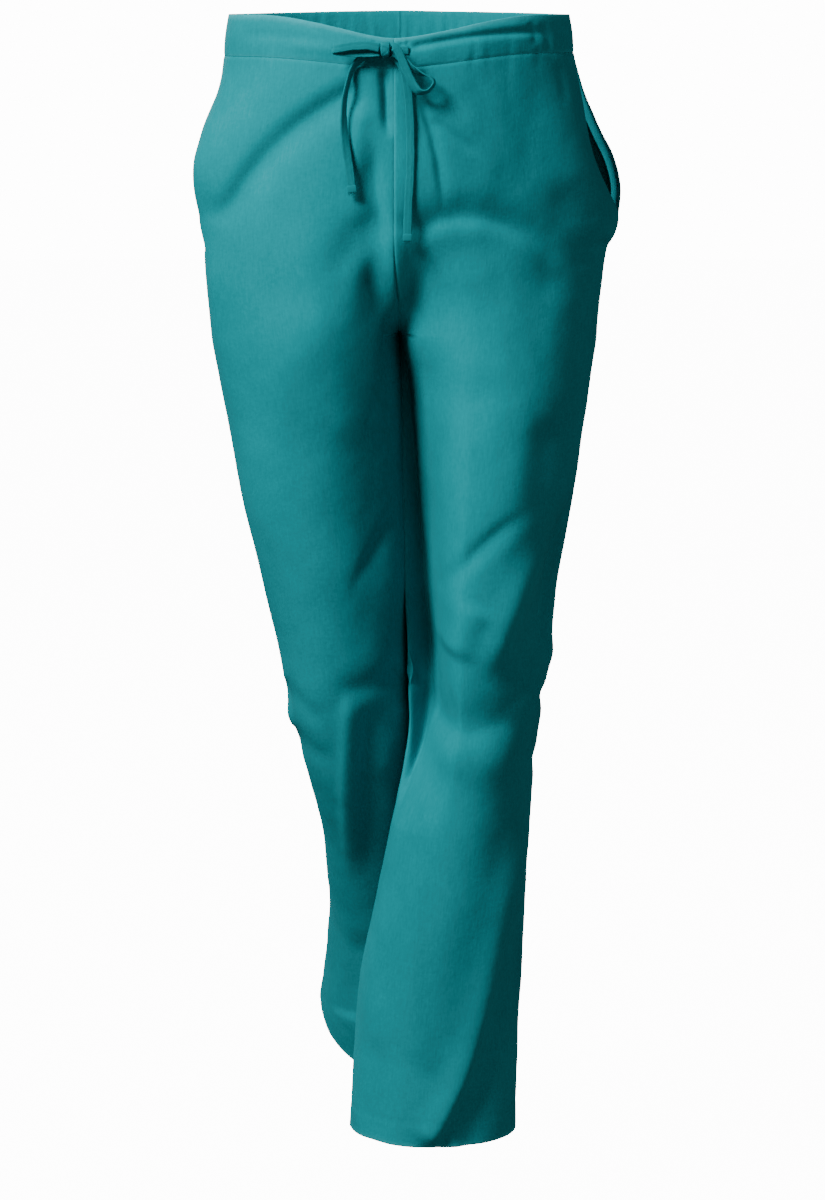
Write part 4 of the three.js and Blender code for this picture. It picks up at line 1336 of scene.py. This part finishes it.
TEAL = Poplin("scrub_poplin", (0.002, 0.2, 0.225), (0.004, 0.275, 0.31), (0.03, 0.36, 0.4))
# The tape's dye is the cloth's teal made darker: painted shade, standing in for the shade on the tape's faces turned
# from the light.
TAPE_TEAL_SHADE_DARKENED = Poplin("tape_poplin", (0.002, 0.16, 0.18), (0.004, 0.22, 0.245), (0.02, 0.3, 0.33), 2300.0, 0.3)
LINING_TEAL = Poplin("lining_poplin", (0.002, 0.18, 0.2), (0.004, 0.24, 0.26), (0.02, 0.3, 0.33),
                     2600.0, 0.15, 0.88)


class Wiring:
    """Adds nodes to a shader node tree and links them."""

    def __init__(self, tree: bpy.types.NodeTree) -> None:
        """Args: the tree."""
        self.tree = tree

    def node(self, kind: str, values: dict | None = None, **settings: Any) -> bpy.types.Node:
        """Adds a node.

        Args:
            kind: its type.
            values: its inputs by name or place, each a value or a socket to link.
            settings: its other settings.

        Returns:
            The node.
        """
        made = self.tree.nodes.new(kind)
        for key, value in settings.items():
            setattr(made, key, value)
        for key, value in (values or {}).items():
            if isinstance(value, bpy.types.NodeSocket):
                self.tree.links.new(value, made.inputs[key])
            else:
                made.inputs[key].default_value = value
        return made

    def math(self, kind: str, *values: Any) -> bpy.types.NodeSocket:
        """The result of a Math node."""
        return self.node("ShaderNodeMath", dict(enumerate(values)), operation=kind).outputs[0]

    def mixed(self, share: bpy.types.NodeSocket, low: Any, high: tuple) -> bpy.types.NodeSocket:
        """The colour a share of the way from a low to a high one."""
        return self.node("ShaderNodeMix", {0: share, 6: low, 7: (*high, 1)}, data_type="RGBA").outputs[2]

    def camera_strength(self, socket: bpy.types.NodeSocket, unseen: float, seen: float) -> None:
        """Gives a light's strength one value where the camera sees it and another for every other ray."""
        ray = self.node("ShaderNodeLightPath").outputs["Is Camera Ray"]
        made = self.node("ShaderNodeMapRange", {"Value": ray, "To Min": unseen, "To Max": seen})
        self.tree.links.new(made.outputs["Result"], socket)


class Group(Wiring):
    """A shared shader node group."""

    def __init__(self, name: str, inputs: dict[str, str], outputs: Sequence[str]) -> None:
        """Starts the group.

        Args:
            name: its name.
            inputs: the kinds of its inputs by name, Vector or Float.
            outputs: the names of its outputs, which are all values.
        """
        super().__init__(bpy.data.node_groups.new(name, "ShaderNodeTree"))
        for label, kind in inputs.items():
            self.tree.interface.new_socket(label, in_out="INPUT", socket_type=f"NodeSocket{kind}")
        for label in outputs:
            self.tree.interface.new_socket(label, in_out="OUTPUT", socket_type="NodeSocketFloat")
        self.given = self.tree.nodes.new("NodeGroupInput").outputs
        self.end = self.tree.nodes.new("NodeGroupOutput")

    def out(self, label: str, socket: bpy.types.NodeSocket) -> None:
        """Links a socket to an output of the group."""
        self.tree.links.new(socket, self.end.inputs[label])

    def noise(self, at: bpy.types.NodeSocket, scale: float, detail: float, **settings: Any) -> bpy.types.NodeSocket:
        """The value of a noise texture."""
        values = {"Vector": at, "Scale": scale, "Detail": detail, "Roughness": settings.pop("rough", 0.5)}
        return self.node("ShaderNodeTexNoise", values, **settings).outputs["Fac"]


def weave_group() -> bpy.types.NodeTree:
    """Builds the plain weave on the flat cloth.

    Returns:
        A group that gives the weave's relief.
    """
    g = Group("plain_weave", {"Flat": "Vector", "Threads": "Float"}, ("Relief",))
    flat, threads = g.given["Flat"], g.given["Threads"]
    split = g.node("ShaderNodeSeparateXYZ", {0: flat})
    drift = g.math("MULTIPLY", g.noise(flat, 420.0, 2.0, noise_dimensions="2D"), 2.4)
    ways = []
    for axis, pitch in ((0, 2 * math.pi), (1, 4.1)):
        turns = g.math("MULTIPLY", split.outputs[axis], g.math("MULTIPLY", threads, pitch))
        ways.append(g.math("SINE", g.math("ADD", turns, drift)))
    g.out("Relief", g.math("MULTIPLY_ADD", g.math("MULTIPLY", *ways), 0.5, 0.5))
    return g.tree


def handling_group() -> bpy.types.NodeTree:
    """Builds what wear and washing do to the cloth.

    Returns:
        A group that gives the uneven dye, the fine rumple and the rubbed edges.
    """
    g = Group("handled_cloth", {"Place": "Vector", "Flat": "Vector", "Wear": "Float"}, ("Shade", "Rumple", "Rub"))
    place, flat = g.given["Place"], g.given["Flat"]
    broad = g.noise(place, 9.0, 3.0)
    fine = g.noise(flat, 240.0, 4.0, rough=0.6)
    stretched = g.node("ShaderNodeMapping", {"Vector": flat, "Scale": (900.0, 70.0, 1.0)})
    streak = g.noise(stretched.outputs[0], 1.0, 2.0)
    mixed = g.math("ADD", g.math("MULTIPLY", broad, 0.5), g.math("MULTIPLY", fine, 0.25))
    total = g.math("ADD", mixed, g.math("MULTIPLY", streak, 0.35))
    g.out("Shade", g.math("MULTIPLY", g.math("SUBTRACT", total, 0.38), 3.2))
    g.out("Rumple", g.math("ADD", fine, g.math("MULTIPLY", streak, 0.5)))
    patchy = g.math("MULTIPLY", g.given["Wear"], g.math("ADD", fine, 0.25))
    g.out("Rub", g.math("MINIMUM", patchy, 1.0))
    return g.tree


class Dresser:
    """Makes the materials and puts them on pieces."""

    def __init__(self) -> None:
        """Builds the shared node groups and the finishes."""
        self.weave = weave_group()
        self.handled = handling_group()
        self.finishes = {finish.name: self.poplin(finish) for finish in (TEAL, TAPE_TEAL_SHADE_DARKENED, LINING_TEAL)}
        self.thread = self.plain("sewing_thread", (0.03, 0.33, 0.355), 0.6)
        self.floor = self.plain("studio_floor", (0.16, 0.16, 0.16), 0.9)
        shader = self.floor.node_tree.nodes["Principled BSDF"]
        shader.inputs["Emission Color"].default_value = (1, 1, 1, 1)
        Wiring(self.floor.node_tree).camera_strength(shader.inputs["Emission Strength"], 0.0, BACKDROP_GLOW * 0.95)

    @staticmethod
    def blank(name: str, values: dict) -> tuple[bpy.types.Material, bpy.types.Node, Wiring]:
        """Starts a material.

        Args:
            name: its name.
            values: the uniform inputs of its shader.

        Returns:
            The material, its shader and the wiring of its tree.
        """
        made = bpy.data.materials.new(name)
        made.use_nodes = True
        shader = made.node_tree.nodes["Principled BSDF"]
        for key, value in values.items():
            shader.inputs[key].default_value = value
        return made, shader, Wiring(made.node_tree)

    def plain(self, name: str, colour: tuple, rough: float) -> bpy.types.Material:
        """Makes a finish with a little unevenness in its colour.

        Args:
            name: the material's name.
            colour: its usual colour.
            rough: its roughness.

        Returns:
            The material.
        """
        made, shader, wiring = self.blank(name, {"Roughness": rough})
        place = wiring.node("ShaderNodeTexCoord").outputs["Object"]
        noise = wiring.node("ShaderNodeTexNoise", {"Scale": 60.0, "Vector": place})
        ramp = wiring.node("ShaderNodeValToRGB", {"Fac": noise.outputs["Fac"]})
        for element, share in zip(ramp.color_ramp.elements, (0.94, 1.05)):
            element.color = (*[min(c * share, 1) for c in colour], 1)
        wiring.tree.links.new(ramp.outputs["Color"], shader.inputs["Base Color"])
        return made

    def poplin(self, finish: Poplin) -> bpy.types.Material:
        """Makes a dyed plain weave.

        Args:
            finish: its dye and its weave.

        Returns:
            The material.
        """
        made, shader, wiring = self.blank(finish.name, {
            "Roughness": finish.rough, "Specular IOR Level": 0.08, "Sheen Weight": 0.02, "Sheen Roughness": 0.5,
            "Sheen Tint": (0.1, 0.8, 0.85, 1)})
        place = wiring.node("ShaderNodeTexCoord").outputs["Object"]
        flat = wiring.node("ShaderNodeUVMap", uv_map=CLOTH_MAP).outputs["UV"]
        wear = wiring.node("ShaderNodeAttribute", attribute_name=WEAR).outputs["Fac"]
        weave = wiring.node("ShaderNodeGroup", {"Flat": flat, "Threads": finish.threads}, node_tree=self.weave)
        handled = wiring.node("ShaderNodeGroup", {"Place": place, "Flat": flat, "Wear": wear}, node_tree=self.handled)
        dye = wiring.mixed(handled.outputs["Shade"], (*finish.deep, 1), finish.bright)
        colour = wiring.mixed(handled.outputs["Rub"], dye, finish.worn)
        coarse = wiring.node("ShaderNodeBump", {
            "Strength": 0.4, "Distance": 0.0007, "Height": handled.outputs["Rumple"]})
        fine = wiring.node("ShaderNodeBump", {
            "Strength": finish.weave, "Distance": 0.00012, "Height": weave.outputs["Relief"],
            "Normal": coarse.outputs["Normal"]})
        wiring.tree.links.new(colour, shader.inputs["Base Color"])
        wiring.tree.links.new(fine.outputs["Normal"], shader.inputs["Normal"])
        return made

    @staticmethod
    def put(piece: bpy.types.Object, material: bpy.types.Material) -> None:
        """Gives a piece its material."""
        piece.data.materials.clear()
        piece.data.materials.append(material)


# ---- Assembly


@dataclass
class Trousers:
    """All the pieces of the trousers."""

    dresser: Dresser
    panels: dict[tuple[Side, Face], LegPanel] = field(default_factory=dict)
    casings: dict[tuple[Side, Face], WaistCasing] = field(default_factory=dict)

    def mount(self, piece: bpy.types.Object, material: bpy.types.Material, slot: str, *nodes: str) -> None:
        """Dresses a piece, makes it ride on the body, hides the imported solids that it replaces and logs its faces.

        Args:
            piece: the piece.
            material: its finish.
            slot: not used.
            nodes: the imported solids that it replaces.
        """
        self.dresser.put(piece, material)
        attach(piece, "root")
        if nodes:
            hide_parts(*nodes)
        LOG.info("%s: %d faces", piece.name, len(piece.data.polygons))

    def cloth(self) -> None:
        """Builds the panels, the casing and the pocket bags."""
        poplin, lining = (self.dresser.finishes[finish.name] for finish in (TEAL, LINING_TEAL))
        panels, casings = {}, {}
        for face in Face:
            for side in Side:
                key, word = (side, face), f"{face.word}_{side.word}"
                self.panels[key], self.casings[key] = LegPanel(side, face), WaistCasing(side, face)
                panels[word] = self.panels[key].build()
                self.mount(panels[word], poplin, "scrub_cloth", word)
                casings[word] = self.casings[key].build()
                self.mount(casings[word], poplin, "scrub_cloth", f"waistband_{word}")
        for side in Side:
            piece = PocketBag(side).build()
            self.mount(piece, lining, "scrub_cloth", f"pocket_bag_{side.word}")
            f"panel_front_{side.word}"

    def stitch(self) -> None:
        """Lays the topstitching on the finished cloth."""
        rings, hems, mouths = (Stitching(f"stitching_{name}") for name in ("casing", "hems", "pockets"))
        mouth_ends = (MOUTH_TOP - 1, MOUTH_BOTTOM - 2)
        for (side, face), panel in self.panels.items():
            casing, surface = self.casings[(side, face)], panel.surface
            u = np.linspace(0.004, 0.996, 240)
            rings.add(*casing.surface.at(u, np.full(240, -casing.stitch_share)))
            hems.add(*surface.at(u, np.full(240, surface.heights[-1] + panel.hem_depth - panel.hem_stitch)))
            if face is Face.FRONT:
                for inset in (0.974, 0.95):
                    mouths.add(*surface.at(np.full(120, inset), np.linspace(*mouth_ends, 120)))
            bar = np.linspace(0.945 if face is Face.FRONT else 0.97, 0.995, 12)
            for end in mouth_ends:
                for k in range(5):
                    mouths.add(*surface.at(bar, np.full(12, end + k * 0.6)))
        for run in (rings, hems, mouths):
            self.mount(run.build(), self.dresser.thread, "scrub_cloth")

    def tie(self) -> None:
        """Builds the bow and says how long each free length of tape is."""
        pieces = Bow().build()
        nodes = {tape.name: (tape.node,) for tape in TAPES} | {"bow_knot": ("drawstring_knot",)}
        for name, piece in pieces.items():
            # Every piece of the bow takes the tape finish, which is darkened by painted shade.
            self.mount(piece, self.dresser.finishes[TAPE_TEAL_SHADE_DARKENED.name], "drawstring_tape", *nodes.get(name, ()))
        for tape in TAPES:
            line = tape.line() * MM
            length = float(np.linalg.norm(np.diff(line, axis=0), axis=1).sum())
            LOG.info("%s: %.3f m", tape.name, length)
            if "lead" in tape.name:
                continue
            frays = [pieces[tape.name.replace("tape_tail", "tape_fray")]] if tape.frayed else []
            pieces[tape.name]


@dataclass(frozen=True)
class Studio:
    """The camera, the pale floor and the lamps."""

    camera_place: tuple = (0.0126, -3.9, 0.05)
    camera_drop: float = math.atan2(570, 3900)
    lens: float = 124.5
    floor_height: float = -1.085
    aim: tuple = (0, 0, -0.5)
    world_light: float = 0.015

    @staticmethod
    def put(name: str, data: bpy.types.ID, place: tuple) -> bpy.types.Object:
        """Puts a camera or a lamp in its place.

        Args:
            name: its name.
            data: its settings.
            place: where it stands.

        Returns:
            The new object.
        """
        made = bpy.data.objects.new(name, data)
        made.location = place
        bpy.context.scene.collection.objects.link(made)
        return made

    def camera(self) -> None:
        """Places the camera at the photograph's viewing angle."""
        data = bpy.data.cameras.new("camera")
        data.lens, data.sensor_width, data.clip_end = self.lens, 36, 50
        made = self.put("camera", data, self.camera_place)
        made.rotation_euler = (math.pi / 2 - self.camera_drop, 0, 0)
        bpy.context.scene.camera = made

    def floor(self, material: bpy.types.Material) -> None:
        """Lays the pale floor."""
        bm = bmesh.new()
        bmesh.ops.create_grid(bm, x_segments=1, y_segments=1, size=14)
        bmesh.ops.translate(bm, vec=(0, 0, self.floor_height), verts=bm.verts)
        made = finished("floor", bm)
        made.data.materials.append(material)

    def lamp(self, name: str, place: tuple, size: float, power: float) -> None:
        """Hangs a round lamp that points at the trousers.

        Args:
            name: its name.
            place: where it hangs.
            size: how wide it is, in metres.
            power: its power, in watts.
        """
        data = bpy.data.lights.new(name, "AREA")
        data.shape, data.size, data.energy = "DISK", size, power
        way = Vector(self.aim) - Vector(place)
        self.put(name, data, place).rotation_euler = way.to_track_quat("-Z", "Y").to_euler()

    def light(self) -> None:
        """Hangs soft lamps: the key from the viewer's upper left, a weak fill, a rim and one behind."""
        self.lamp("key", (-1.55, -1.5, 1.75), 1.15, 150)
        self.lamp("fill", (0.9, -3.2, 0.4), 1.6, 3)
        self.lamp("rim", (2.9, -0.9, 0.6), 0.8, 14)
        self.lamp("back", (-0.9, 3.1, 1.1), 1.4, 70)
        world = bpy.data.worlds.new("studio")
        world.use_nodes = True
        shade = world.node_tree.nodes["Background"]
        shade.inputs["Color"].default_value = (1, 1, 1, 1)
        Wiring(world.node_tree).camera_strength(shade.inputs["Strength"], self.world_light, BACKDROP_GLOW)
        bpy.context.scene.world = world


def main() -> None:
    """Builds the scene."""
    studio = Studio()
    studio.camera()
    trousers = Trousers(Dresser())
    trousers.tie()
    trousers.cloth()
    trousers.stitch()
    studio.floor(trousers.dresser.floor)
    studio.light()


if __name__ == "__main__":
    main()
